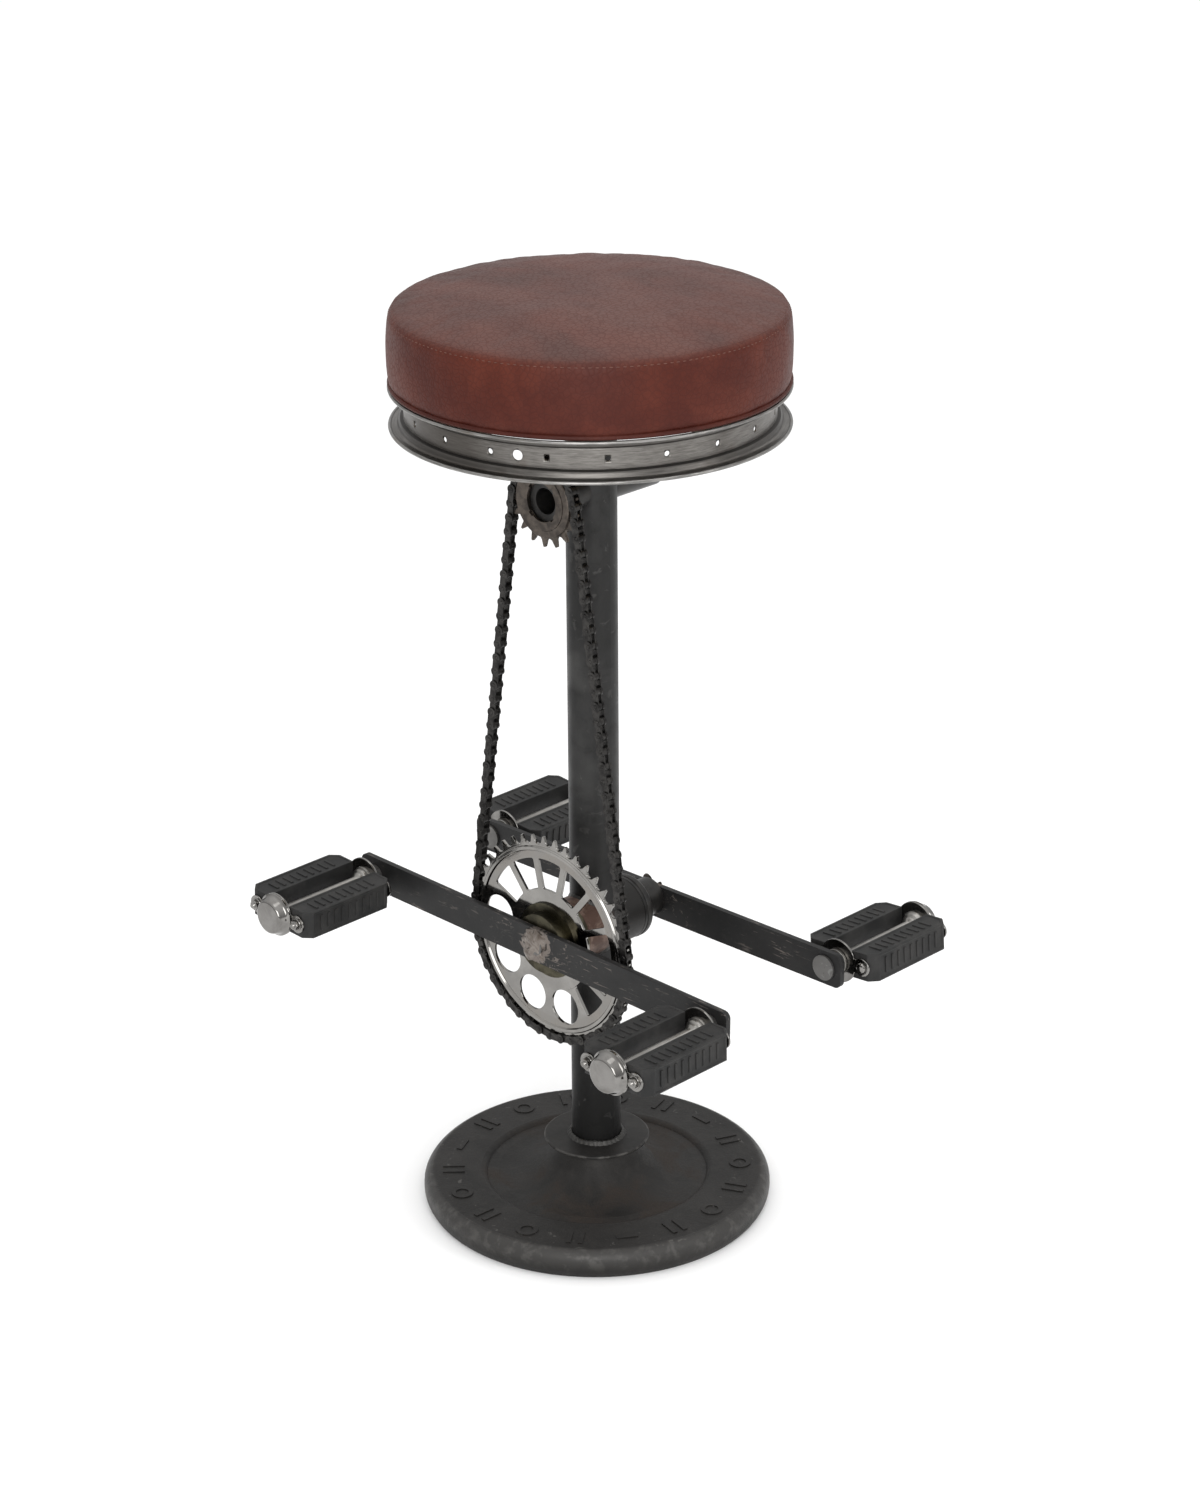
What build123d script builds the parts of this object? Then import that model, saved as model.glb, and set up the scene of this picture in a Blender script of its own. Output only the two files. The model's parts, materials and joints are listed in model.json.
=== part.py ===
from build123d import *
import math
import os

# A bar stool made of bicycle parts.  Millimetres, Z up, the origin on the floor under the post.
# The bottom bracket axle lies along Y: the chain side is -Y and the pedal bars point along X.

# ---- base and post ----
BASE_RADIUS = 151.0        # widest point of the round iron base
BASE_EDGE_Z = 14.0         # height of that widest point
BASE_TOP_Z = 25.6          # flat ring that carries the raised marks
BASE_WALL = 7.0            # casting wall over the hollow underside
MARK_RADIUS = 125.0        # middle of the ring of raised marks
MARK_HEIGHT = 0.9
MARK_GROUPS = 3
MARKS_PER_GROUP = 5
MARK_START = -34.0         # angle of the first dash
HUB_DISC_RADIUS = 45.7
HUB_DISC_Z = 59.0          # top of the thin disc round the foot of the post
HUB_DISC_WALL = 2.6
SOCKET_DEPTH = 20.0        # how far the post stands in the base
POST_OD = 42.4
POST_WALL = 2.6
POST_TOP_Z = 724.5

# ---- crank, bars and pedals ----
CRANK_Z = 263.3            # height of the bottom bracket axle
SHELL_OD = 55.0
SHELL_WALL = 2.0
SHELL_LENGTH = 68.0
AXLE_OD = 22.0
AXLE_END_OD = 16.0         # turned down where it passes through the bars
CUP_LIP = 3.0
CUP_DEPTH = 10.0
CUP_BORE = 31.0
BB_BALL_OD = 6.35
BB_BALLS = 9               # on each side
BB_BALL_CIRCLE = 17.6      # radius
LOCK_RING_WIDTH = 7.0
BAR_HEIGHT = 30.0
BAR_THICKNESS = 5.0
BAR_LENGTH = 431.0
BAR_CORNER = 6.0
FRONT_BAR_Y = -68.3        # middle plane of the bar on the chain side
BACK_BAR_Y = 71.0
FRONT_BAR_LEAN = 1.2       # degrees, the welds hold the bars a little out of level
BACK_BAR_LEAN = -0.3
BACK_BAR_DROP = 4.0        # the back bar is welded on this far below the axle's centre
WELD_HEIGHT = 2.4
WELD_WIDTH = 4.5
AXLE_PROUD = 1.5           # axle end beyond the bar's outer face
SPINDLE_X = 198.0          # crank axle to pedal spindle
SPINDLE_OD = 9.5
SPINDLE_WAIST_OD = 6.6     # inside the barrel's tube
SPINDLE_HEAD_OD = 22.0
PEDAL_GAP = 12.0           # bar face to the inner end plate
PEDAL_LENGTH = 102.0       # over both end plates
PEDAL_TILTS = {"front_right": 1.0, "front_left": -3.0, "back_right": 4.0, "back_left": -5.0}
BOLT_OFFSET = 25.5         # spindle to pedal bolt
BOLT_OD = 5.0
BLOCK_WIDTH = 24.0
BLOCK_HEIGHT = 24.0
PLATE_THICKNESS = 2.0
BARREL_OD = 10.0
BARREL_CUP_OD = 22.0
PEDAL_BALL = 4.0
PEDAL_BALLS = 8            # at each end
CAP_BASE_OD = 38.0
CAP_FACE_OD = 29.0
CAP_HEIGHT = 10.0

# ---- chain drive ----
PITCH = 12.7
RING_TEETH = 44
FREEWHEEL_TEETH = 17
CHAIN_LINKS = 92
CHAIN_Y = -53.0
TOOTH_THICKNESS = 2.6
ROLLER_OD = 7.75
PIN_OD = 3.6
LINK_HEIGHT = 8.4
LINK_WAIST = 6.4
LINK_PLATE = 1.0
LINK_INNER_WIDTH = 3.3
LINK_SIDE_GAP = 0.15
PIN_PROUD = 0.5
TIP_HEIGHT = 3.4           # tooth tip over the pitch circle
TIP_WIDTH = 1.7
HOLE_COUNT = 4
HOLE_STEP = 37.5
FIRST_HOLE = 174.0
HOLE_RADIUS = 15.5
HOLE_CIRCLE = 60.0
WINDOW_COUNT = 8
WINDOW_INNER = 45.0
WINDOW_OUTER = 72.0
WINDOW_SPOKE = 6.0
BEAD_RADIUS = 79.5         # inner edge of the raised band inside the teeth
BEAD_WIDTH = 3.5
BEAD_HEIGHT = 1.6
COLLAR_RADIUS = 26.0
COLLAR_FLANGE_RADIUS = 33.0
COLLAR_FLANGE = 2.5

# ---- freewheel and its stub ----
STUB_OD = 30.0
STUB_WALL = 4.0
STUB_BACK_Y = 70.0
THREAD_OD = 34.8
FREEWHEEL_RACE = 23.5      # radius where the body runs in the toothed ring
FREEWHEEL_DISC = 29.8
FREEWHEEL_WIDTH = 12.0
FREEWHEEL_BALL = 3.0
FREEWHEEL_BALLS = 24
FREEWHEEL_FRONT = 4.0      # body and ring stand this far in front of the chain plane
FREEWHEEL_LIP = 16.2       # radius of the notched hole in the body's face
RATCHET_TEETH = 20
RATCHET_DEPTH = 1.2
PAWL_WIDTH = 4.0
PAWL_LENGTH = 9.0
PAWL_POCKET = 2.4

# ---- seat ----
RIM_RADIUS = 162.4
RIM_LOW_Z = 704.0
RIM_WIDTH = 35.0
RIM_WALL = 1.5
WELL_RADIUS = 149.9        # outer face of the well, where the spoke holes are
WELL_HALF = 8.5
SPOKE_HOLES = 20
SPOKE_HOLE_OD = 4.6
FIRST_SPOKE = -4.5         # degrees
VALVE_HOLE_OD = 8.6
VALVE_ANGLE = -67.5
ARM_WIDTH = 25.0
ARM_THICKNESS = 6.0
BOARD_RADIUS = 156.0
BOARD_THICKNESS = 12.0
SCREW_CIRCLE = 95.0
SCREW_OD = 6.0
CUSHION_RADIUS = 164.0
CUSHION_SEAM_RADIUS = 161.0
CUSHION_SEAM_Z = 802.8
CUSHION_CROWN = 13.0

# ---- fits ----
SLIDE = 0.05               # radial clearance of a fit inside one body
RUNNING = 0.3              # clearance between faces of different bodies
FACE_GAP = 0.3             # cushion to board and rim
BALL_PLAY = 0.1
CONE_PROUD = 1.0           # bearing cone beyond its cup

parts = {}


# ---- helpers ----
def outline(start, *moves):
    """Closed face: each move is a point, or a (through, end) pair of points for an arc."""
    edges, here = [], start
    for move in moves:
        if isinstance(move[0], tuple):
            edges.append(ThreePointArc(here, *move))
            here = move[1]
        else:
            edges.append(Line(here, move))
            here = move
    edges.append(Line(here, start))
    return make_face(Wire(edges))


def lathe(face):
    """Turn a (radius, height) face round the Z axis."""
    return revolve(Plane.XZ * face, Axis.Z)


def turned(face, x=0.0, z=0.0):
    """Turn a (radius, y) face round an axis along Y through x, z."""
    return Pos(x, 0, z) * Rot(-90, 0, 0) * lathe(face)


def ring_face(inner, outer, low, high, bevel=0.0):
    """Half section of a ring, with its outer corners bevelled."""
    if bevel == 0.0:
        return outline((inner, low), (outer, low), (outer, high), (inner, high))
    return outline((inner, low), (outer - bevel, low), (outer, low + bevel),
                   (outer, high - bevel), (outer - bevel, high), (inner, high))


def rod(radius, low, high, x=0.0, z=0.0):
    """Round bar along Y."""
    return Pos(x, (low + high) / 2, z) * Rot(90, 0, 0) * Cylinder(radius, high - low)


def across(face, low, high):
    """Give an (x, z) face its thickness along Y."""
    plane = Plane(origin=(0, high, 0), x_dir=(1, 0, 0), z_dir=(0, -1, 0))
    return extrude(plane * face, amount=high - low)


def keep(name, *shapes):
    """Store one node, which may hold several separate solids."""
    solids = []
    for shape in shapes:
        solids.extend(shape.solids())
    parts[name] = solids


def polar(radius, angle):
    return radius * math.cos(math.radians(angle)), radius * math.sin(math.radians(angle))


# ---- base ----
def base_profile():
    under = BASE_TOP_Z - BASE_WALL
    neck = HUB_DISC_Z - HUB_DISC_WALL
    foot = BASE_RADIUS - 5.5
    top = BASE_RADIUS - 7.5
    bore = POST_OD / 2
    return outline(
        (foot - 9.0, 0), (foot, 0),
        ((BASE_RADIUS - 1.2, BASE_EDGE_Z * 0.45), (BASE_RADIUS, BASE_EDGE_Z)),
        ((BASE_RADIUS - 1.9, BASE_TOP_Z - 4.4), (top, BASE_TOP_Z)),
        (101.0, BASE_TOP_Z), ((98.0, BASE_TOP_Z - 0.9), (95.5, BASE_TOP_Z - 3.2)),
        (86.0, BASE_TOP_Z - 2.6),
        ((50.0, BASE_TOP_Z + 5.5), (30.0, neck)),
        (bore + SLIDE, neck), (bore + SLIDE, neck - SOCKET_DEPTH - 2.0),
        ((44.0, under - 2.0), (80.0, under - 3.0)), (foot - 12.0, under - 3.0),
        (foot - 9.0, under - 6.0))


def raised_marks():
    """Plain raised marks in groups, with a dash between the groups."""
    marks = []
    group_angle = 360.0 / MARK_GROUPS
    mark_step = group_angle / (MARKS_PER_GROUP + 1)
    low = BASE_TOP_Z - 0.5
    depth = MARK_HEIGHT + 0.5
    for group in range(MARK_GROUPS):
        start = MARK_START + group * group_angle
        dash = Pos(MARK_RADIUS, 0, low + depth / 2) * Box(5.0, 18.0, depth)
        marks.append(Rot(0, 0, start) * dash)
        for index in range(MARKS_PER_GROUP):
            turn = Rot(0, 0, start + mark_step * (index + 1))
            if index % 2:
                hoop = Cylinder(9.5, depth) - Cylinder(5.5, depth)
                marks.append(turn * Pos(MARK_RADIUS, 0, low + depth / 2) * hoop)
            else:
                for side in (-5.0, 5.0):
                    stroke = Box(19.0, 4.0, depth)
                    marks.append(turn * Pos(MARK_RADIUS, side, low + depth / 2) * stroke)
    return marks


def build_base():
    casting = lathe(base_profile())
    for mark in raised_marks():
        casting += mark
    keep("base_casting", casting)
    bore = POST_OD / 2 + SLIDE
    low = HUB_DISC_Z - HUB_DISC_WALL
    keep("hub_disc", lathe(ring_face(bore, HUB_DISC_RADIUS, low, HUB_DISC_Z, 0.8)))
    bead = POST_OD / 2
    weld = outline((bead, HUB_DISC_Z), (bead + 4.5, HUB_DISC_Z),
                   ((bead + 3.0, HUB_DISC_Z + 2.6), (bead, HUB_DISC_Z + 4.5)))
    keep("foot_weld", lathe(weld))


# ---- post and bottom bracket shell ----
def build_post(stub_z):
    low = HUB_DISC_Z - HUB_DISC_WALL - SOCKET_DEPTH
    pipe = lathe(ring_face(POST_OD / 2 - POST_WALL, POST_OD / 2, low, POST_TOP_Z))
    pipe -= rod(SHELL_OD / 2, -POST_OD, POST_OD, 0, CRANK_Z)
    pipe -= rod(STUB_OD / 2 + SLIDE, -POST_OD, POST_OD, 0, stub_z)
    keep("post", pipe)
    half = SHELL_LENGTH / 2
    inner = SHELL_OD / 2 - SHELL_WALL
    keep("bb_shell", turned(ring_face(inner, SHELL_OD / 2, -half, half, 0.6), 0, CRANK_Z))


def cup_face():
    """Pressed cup: lip outside the shell, ball race inside."""
    edge = SHELL_LENGTH / 2
    lip = edge + CUP_LIP
    hole = CUP_BORE / 2
    inner = SHELL_OD / 2 - SHELL_WALL - SLIDE
    race = BB_BALL_CIRCLE + BB_BALL_OD / 2 + BALL_PLAY
    return outline((hole, lip), (SHELL_OD / 2, lip), (SHELL_OD / 2, edge),
                   (inner, edge), (inner, edge - CUP_DEPTH), (race, edge - CUP_DEPTH),
                   (race, edge - 1.0), (hole, edge - 1.0))


def build_bottom_bracket():
    cup = turned(cup_face())
    at_axle = Pos(0, 0, CRANK_Z)
    keep("bb_cup_back", at_axle * cup)
    keep("bb_cup_front", at_axle * Rot(0, 0, 180) * cup)
    ball_y = SHELL_LENGTH / 2 - 1.0 - BB_BALL_OD / 2 - BALL_PLAY
    cone_end = SHELL_LENGTH / 2 + CUP_LIP + CONE_PROUD
    balls, cones = [], []
    for side in (-1, 1):
        for index in range(BB_BALLS):
            x, z = polar(BB_BALL_CIRCLE, index * 360.0 / BB_BALLS)
            balls.append(Pos(x, side * ball_y, CRANK_Z + z) * Sphere(BB_BALL_OD / 2))
        bore = AXLE_OD / 2 + SLIDE
        reach = BB_BALL_CIRCLE - BB_BALL_OD / 2 - RUNNING
        cone = turned(outline((bore, ball_y - 8.0), (reach + 2.2, ball_y - 8.0),
                              (reach + 2.2, ball_y - 5.0), (reach, ball_y - 1.5),
                              (reach, cone_end), (bore, cone_end)))
        cones.append(at_axle * Rot(0, 0, 0 if side > 0 else 180) * cone)
    keep("bb_balls", *balls)
    keep("bb_cones", *cones)
    low = SHELL_LENGTH / 2 + CUP_LIP
    high = low + LOCK_RING_WIDTH
    edge = SHELL_OD / 2 + 0.5
    inner = CUP_BORE / 2 + 2.0
    ring = outline((inner, low), (edge, low), (edge, high - 3.0),
                   ((edge - 0.9, high - 0.9), (edge - 3.0, high)), (inner, high))
    keep("bb_lock_ring", turned(ring, 0, CRANK_Z))


# ---- crank: axle, spacers and bars ----
def bar_solid(plane_y, lean, drop):
    """Flat bar across the axle, its middle line this far below the axle."""
    low, high = plane_y - BAR_THICKNESS / 2, plane_y + BAR_THICKNESS / 2
    bar = across(RectangleRounded(BAR_LENGTH, BAR_HEIGHT, BAR_CORNER), low, high)
    bar -= rod(AXLE_END_OD / 2 + SLIDE, low - 1, high + 1, 0, drop)
    for x in (-SPINDLE_X, SPINDLE_X):
        bar -= rod(SPINDLE_OD / 2 + SLIDE, low - 1, high + 1, x, 0)
    return Pos(0, 0, CRANK_Z) * Rot(0, lean, 0) * Pos(0, 0, -drop) * bar


def build_crank():
    front_face = FRONT_BAR_Y - BAR_THICKNESS / 2
    front_back = FRONT_BAR_Y + BAR_THICKNESS / 2
    back_face = BACK_BAR_Y + BAR_THICKNESS / 2
    back_front = BACK_BAR_Y - BAR_THICKNESS / 2
    first, last = front_face - AXLE_PROUD, back_face + AXLE_PROUD
    end, middle = AXLE_END_OD / 2, AXLE_OD / 2
    axle = outline((0, first), (end, first), (end, front_back), (middle, front_back),
                   (middle, back_front), (end, back_front), (end, last), (0, last))
    keep("crank_axle", turned(axle, 0, CRANK_Z))
    keep("front_bar", bar_solid(FRONT_BAR_Y, FRONT_BAR_LEAN, 0.0))
    keep("back_bar", bar_solid(BACK_BAR_Y, BACK_BAR_LEAN, BACK_BAR_DROP))
    ring_front = CHAIN_Y - TOOTH_THICKNESS / 2
    ring_back = CHAIN_Y + TOOTH_THICKNESS / 2
    bore = AXLE_OD / 2 + SLIDE
    collar = outline((bore, ring_front), (COLLAR_FLANGE_RADIUS, ring_front),
                     (COLLAR_FLANGE_RADIUS, ring_front - COLLAR_FLANGE),
                     (COLLAR_RADIUS, ring_front - COLLAR_FLANGE),
                     (COLLAR_RADIUS, front_back), (bore, front_back))
    keep("chainring_collar", turned(collar, 0, CRANK_Z))
    cone_end = SHELL_LENGTH / 2 + CUP_LIP + CONE_PROUD
    spacer = turned(ring_face(bore, 17.0, ring_back, -cone_end, 0.8), 0, CRANK_Z)
    keep("front_spacer", spacer)
    sleeve = turned(ring_face(bore, 16.5, cone_end, back_front, 0.8), 0, CRANK_Z)
    keep("back_spacer", sleeve)
    welds = []
    for face, out in ((front_face, -1), (back_face, 1)):
        edge = end + SLIDE
        bead = outline((edge, 0), (edge + WELD_WIDTH, 0),
                       ((edge + WELD_WIDTH * 0.6, WELD_HEIGHT * 0.6), (edge, WELD_HEIGHT)))
        side = Rot(0, 0, 0 if out > 0 else 180)
        welds.append(Pos(0, face, CRANK_Z) * side * turned(bead))
    keep("crank_welds", *welds)


# ---- sprockets ----
def pitch_radius(teeth):
    return PITCH / (2 * math.sin(math.pi / teeth))


def sprocket_face(teeth, first_gap):
    """Toothed outline: a round seat for each roller, straight flanks and blunt tips."""
    radius = pitch_radius(teeth)
    seat = ROLLER_OD / 2 + RUNNING
    tip = radius + TIP_HEIGHT
    half_tip = math.degrees(TIP_WIDTH / 2 / tip)
    edges = []
    last = None
    for index in range(teeth):
        middle = first_gap + index * 360.0 / teeth
        centre = Vector(*polar(radius, middle))
        start, through, end = (centre + Vector(*polar(seat, middle + turn))
                               for turn in (-102, -180, -258))
        left = Vector(*polar(tip, middle - 180.0 / teeth + half_tip))
        right = Vector(*polar(tip, middle + 180.0 / teeth - half_tip))
        if last is not None:
            edges.append(Line(last, left))
        else:
            first = left
        edges.append(Line(left, start))
        edges.append(ThreePointArc(start, through, end))
        edges.append(Line(end, right))
        last = right
    edges.append(Line(last, first))
    return make_face(Wire(edges))


def window_face(middle, width):
    """Window with sides parallel to its spokes and arcs at its inner and outer edge."""
    corners = []
    for radius, side in ((WINDOW_INNER, -1), (WINDOW_INNER, 1), (WINDOW_OUTER, 1),
                         (WINDOW_OUTER, -1)):
        half = width / 2 - math.degrees(WINDOW_SPOKE / 2 / radius)
        corners.append(polar(radius, middle + side * half))
    face = outline(corners[0], (polar(WINDOW_INNER, middle), corners[1]), corners[2],
                   (polar(WINDOW_OUTER, middle), corners[3]))
    return fillet(face.vertices(), 2.0)


def build_chainring():
    face = sprocket_face(RING_TEETH, -90.0)
    for index in range(HOLE_COUNT):
        spot = Pos(*polar(HOLE_CIRCLE, FIRST_HOLE + index * HOLE_STEP))
        face -= spot * Circle(HOLE_RADIUS)
    span = 360.0 - HOLE_COUNT * HOLE_STEP
    width = span / WINDOW_COUNT
    start = FIRST_HOLE - HOLE_STEP / 2 - span
    for index in range(WINDOW_COUNT):
        face -= window_face(start + (index + 0.5) * width, width)
    face -= Circle(AXLE_OD / 2 + SLIDE)
    low, high = CHAIN_Y - TOOTH_THICKNESS / 2, CHAIN_Y + TOOTH_THICKNESS / 2
    ring = across(face, low, high)
    outer = BEAD_RADIUS + BEAD_WIDTH
    bead = outline((BEAD_RADIUS - 1.0, low + 0.2), (BEAD_RADIUS - 1.0, low),
                   (BEAD_RADIUS, low - BEAD_HEIGHT), (outer - 0.8, low - BEAD_HEIGHT),
                   (outer, low), (outer, low + 0.2))
    ring += turned(bead)
    keep("chainring", Pos(0, 0, CRANK_Z) * ring)


# ---- chain ----
class ChainPath:
    """Half of the chain loop, from the lowest point of the ring to the top of the freewheel."""

    def __init__(self, centre_distance):
        self.big = pitch_radius(RING_TEETH)
        self.small = pitch_radius(FREEWHEEL_TEETH)
        self.rise = centre_distance
        self.lean = math.asin((self.big - self.small) / centre_distance)
        self.first = self.big * (math.pi / 2 + self.lean)
        self.straight = centre_distance * math.cos(self.lean)
        self.length = self.first + self.straight + self.small * (math.pi / 2 - self.lean)

    def at(self, travel):
        """Point in (x, z) from the ring's centre."""
        nx, nz = math.cos(self.lean), math.sin(self.lean)
        if travel <= self.first:
            angle = travel / self.big - math.pi / 2
            return self.big * math.cos(angle), self.big * math.sin(angle)
        if travel <= self.first + self.straight:
            along = travel - self.first
            return self.big * nx - along * nz, self.big * nz + along * nx
        angle = self.lean + (travel - self.first - self.straight) / self.small
        return self.small * math.cos(angle), self.rise + self.small * math.sin(angle)

    def step(self, travel):
        """Travel of the next pin, one pitch away in a straight line."""
        x, z = self.at(travel)
        low, high = travel, travel + PITCH * 1.2
        for _ in range(50):
            middle = (low + high) / 2
            nx, nz = self.at(middle)
            if math.hypot(nx - x, nz - z) < PITCH:
                low = middle
            else:
                high = middle
        return low


def half_chain(centre_distance):
    path = ChainPath(centre_distance)
    travels = [0.0]
    for _ in range(CHAIN_LINKS // 2):
        travels.append(path.step(travels[-1]))
    return path, travels


def solve_centre_distance():
    """Centre distance at which the whole chain is just tight."""
    rough = (CHAIN_LINKS - (RING_TEETH + FREEWHEEL_TEETH) / 2) * PITCH / 2
    low, high = rough - 40.0, rough + 10.0
    for _ in range(50):
        middle = (low + high) / 2
        path, travels = half_chain(middle)
        if travels[-1] > path.length:
            low = middle
        else:
            high = middle
    return middle


def chain_pins(centre_distance):
    """All pin centres in order round the loop, in (x, z) from the ring's centre."""
    path, travels = half_chain(centre_distance)
    right = [path.at(travel) for travel in travels[:-1]]
    right.append((0.0, centre_distance + path.small))
    left = [(-x, z) for x, z in reversed(right[1:-1])]
    return right + left


def link_plate(hole_radius):
    """Waisted link plate lying along X, centred between its two holes."""
    plate = Rectangle(PITCH, LINK_WAIST)
    for x in (-PITCH / 2, PITCH / 2):
        plate += Pos(x, 0) * Circle(LINK_HEIGHT / 2)
    for x in (-PITCH / 2, PITCH / 2):
        plate -= Pos(x, 0) * Circle(hole_radius)
    return across(plate, -LINK_PLATE / 2, LINK_PLATE / 2)


def build_chain(centre_distance):
    pins = chain_pins(centre_distance)
    inner_plate = link_plate(PIN_OD / 2 + 0.1)
    outer_plate = link_plate(PIN_OD / 2 + 0.02)
    inner_y = LINK_INNER_WIDTH / 2 + LINK_PLATE / 2
    outer_y = inner_y + LINK_PLATE + LINK_SIDE_GAP
    pin_half = outer_y + LINK_PLATE / 2 + PIN_PROUD
    roller_half = LINK_INNER_WIDTH / 2 - 0.05
    roller = turned(ring_face(PIN_OD / 2 + 0.1, ROLLER_OD / 2, -roller_half, roller_half))
    pin = turned(ring_face(0, PIN_OD / 2, -pin_half, pin_half, 0.3))
    inner, outer, rollers, rivets = [], [], [], []
    for index, (x, z) in enumerate(pins):
        nx, nz = pins[(index + 1) % len(pins)]
        place = Pos((x + nx) / 2, CHAIN_Y, CRANK_Z + (z + nz) / 2)
        turn = Rot(0, -math.degrees(math.atan2(nz - z, nx - x)), 0)
        plate, offset, group = (inner_plate, inner_y, inner) if index % 2 else (
            outer_plate, outer_y, outer)
        for side in (-offset, offset):
            group.append(place * turn * Pos(0, side, 0) * plate)
        spot = Pos(x, CHAIN_Y, CRANK_Z + z)
        rollers.append(spot * roller)
        rivets.append(spot * pin)
    keep("chain_inner_plates", *inner)
    keep("chain_outer_plates", *outer)
    keep("chain_rollers", *rollers)
    keep("chain_pins", *rivets)


# ---- freewheel ----
def build_freewheel_stub(stub_z):
    front = CHAIN_Y - FREEWHEEL_FRONT
    back = front + FREEWHEEL_WIDTH
    thread_end = front + 4.0
    bore = STUB_OD / 2 - STUB_WALL
    stub = outline((bore, thread_end + 1.0), (THREAD_OD / 2 - 1.0, thread_end),
                   (THREAD_OD / 2, thread_end + 1.0), (THREAD_OD / 2, back + 1.0),
                   (STUB_OD / 2 + 1.5, back + 4.0), (STUB_OD / 2, back + 4.0),
                   (STUB_OD / 2, STUB_BACK_Y - 1.0), (STUB_OD / 2 - 1.0, STUB_BACK_Y),
                   (bore, STUB_BACK_Y))
    keep("freewheel_stub", turned(stub, 0, stub_z))


def build_freewheel_body(stub_z, front, back, pawl_y, ball_y):
    """Body that screws on the stub, its two pawls and the balls that the ring runs on."""
    race = FREEWHEEL_RACE
    lip = outline((FREEWHEEL_LIP, front), (race, front), (race, back - 1.0),
                  (race - 1.0, back), (THREAD_OD / 2 + SLIDE, back),
                  (THREAD_OD / 2 + SLIDE, front + 3.0), (FREEWHEEL_LIP, front + 3.0))
    body = turned(lip)
    for turn in range(4):
        notch = Pos(FREEWHEEL_LIP, front + 1.0, 0) * Box(3.0, 2.6, 4.5)
        body -= Rot(0, 45 + 90 * turn, 0) * notch
    pocket = Box(PAWL_POCKET + 1.0, PAWL_WIDTH, PAWL_LENGTH)
    pawl = Box(PAWL_POCKET - 0.5, PAWL_WIDTH - 0.4, PAWL_LENGTH - 0.6)
    pawls = []
    for turn in (0, 180):
        body -= Rot(0, turn, 0) * Pos(race - PAWL_POCKET / 2 + 0.5, pawl_y, 0) * pocket
        seated = Pos(race - PAWL_POCKET / 2 - RUNNING / 2, pawl_y, 0) * pawl
        pawls.append(Pos(0, 0, stub_z) * Rot(0, turn, 0) * seated)
    body -= turned(Pos(race + RUNNING / 2, ball_y) * Circle(FREEWHEEL_BALL / 2 + BALL_PLAY))
    keep("freewheel_body", Pos(0, 0, stub_z) * body)
    keep("freewheel_pawls", *pawls)
    balls = []
    for index in range(FREEWHEEL_BALLS):
        x, z = polar(race + RUNNING / 2, index * 360.0 / FREEWHEEL_BALLS)
        balls.append(Pos(x, ball_y, stub_z + z) * Sphere(FREEWHEEL_BALL / 2))
    keep("freewheel_balls", *balls)


def build_freewheel(stub_z):
    front = CHAIN_Y - FREEWHEEL_FRONT
    back = front + FREEWHEEL_WIDTH
    pawl_y = CHAIN_Y + 2.0
    ball_y = front + FREEWHEEL_BALL / 2 + 1.2
    build_freewheel_stub(stub_z)
    build_freewheel_body(stub_z, front, back, pawl_y, ball_y)
    inner = FREEWHEEL_RACE + RUNNING
    rim = turned(outline((inner, front + 0.4), (FREEWHEEL_DISC - 0.8, front + 0.4),
                         (FREEWHEEL_DISC, front + 1.2), (FREEWHEEL_DISC, back - 1.2),
                         (FREEWHEEL_DISC - 0.8, back - 0.4), (inner, back - 0.4)))
    low, high = CHAIN_Y - TOOTH_THICKNESS / 2, CHAIN_Y + TOOTH_THICKNESS / 2
    teeth = across(sprocket_face(FREEWHEEL_TEETH, 90.0) - Circle(inner), low, high)
    rim += teeth
    middle = FREEWHEEL_RACE + RUNNING / 2
    rim -= turned(Pos(middle, ball_y) * Circle(FREEWHEEL_BALL / 2 + RUNNING))
    ratchet = []
    for index in range(RATCHET_TEETH):
        here = index * 360.0 / RATCHET_TEETH
        there = here + 360.0 / RATCHET_TEETH
        ratchet.append(polar(inner + RATCHET_DEPTH, here))
        ratchet.append(polar(inner + 0.1, there - 1.0))
    toothed = make_face(Polyline(*ratchet, close=True))
    reach = PAWL_WIDTH / 2 + 0.2
    rim -= across(toothed, pawl_y - reach, pawl_y + reach)
    keep("freewheel_ring", Pos(0, 0, stub_z) * rim)


# ---- pedals ----
def end_plate(low, high, bore):
    """Bow-tie end plate: a round middle and an ear for each bolt."""
    face = Circle(19.0) + Rectangle(2 * BOLT_OFFSET, 12.0)
    for x in (-BOLT_OFFSET, BOLT_OFFSET):
        face += Pos(x, 0) * Circle(8.0)
    face -= Circle(bore)
    for x in (-BOLT_OFFSET, BOLT_OFFSET):
        face -= Pos(x, 0) * Circle(BOLT_OD / 2 + SLIDE)
    return across(face, low, high)


def rubber_block(x, low, high):
    """Rubber block with its outer corners cut back and a bore for the bolt."""
    side = 1 if x > 0 else -1
    block = Pos(x, (low + high) / 2, 0) * Box(BLOCK_WIDTH, high - low, BLOCK_HEIGHT)
    block = chamfer(block.edges().filter_by(Axis.Z).group_by(Axis.X)[-1 if side > 0 else 0], 7.0)
    block = fillet(block.edges().filter_by(Axis.Y), 2.0)
    return block - rod(BOLT_OD / 2 + SLIDE, low - 1, high + 1, x, 0)


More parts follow.
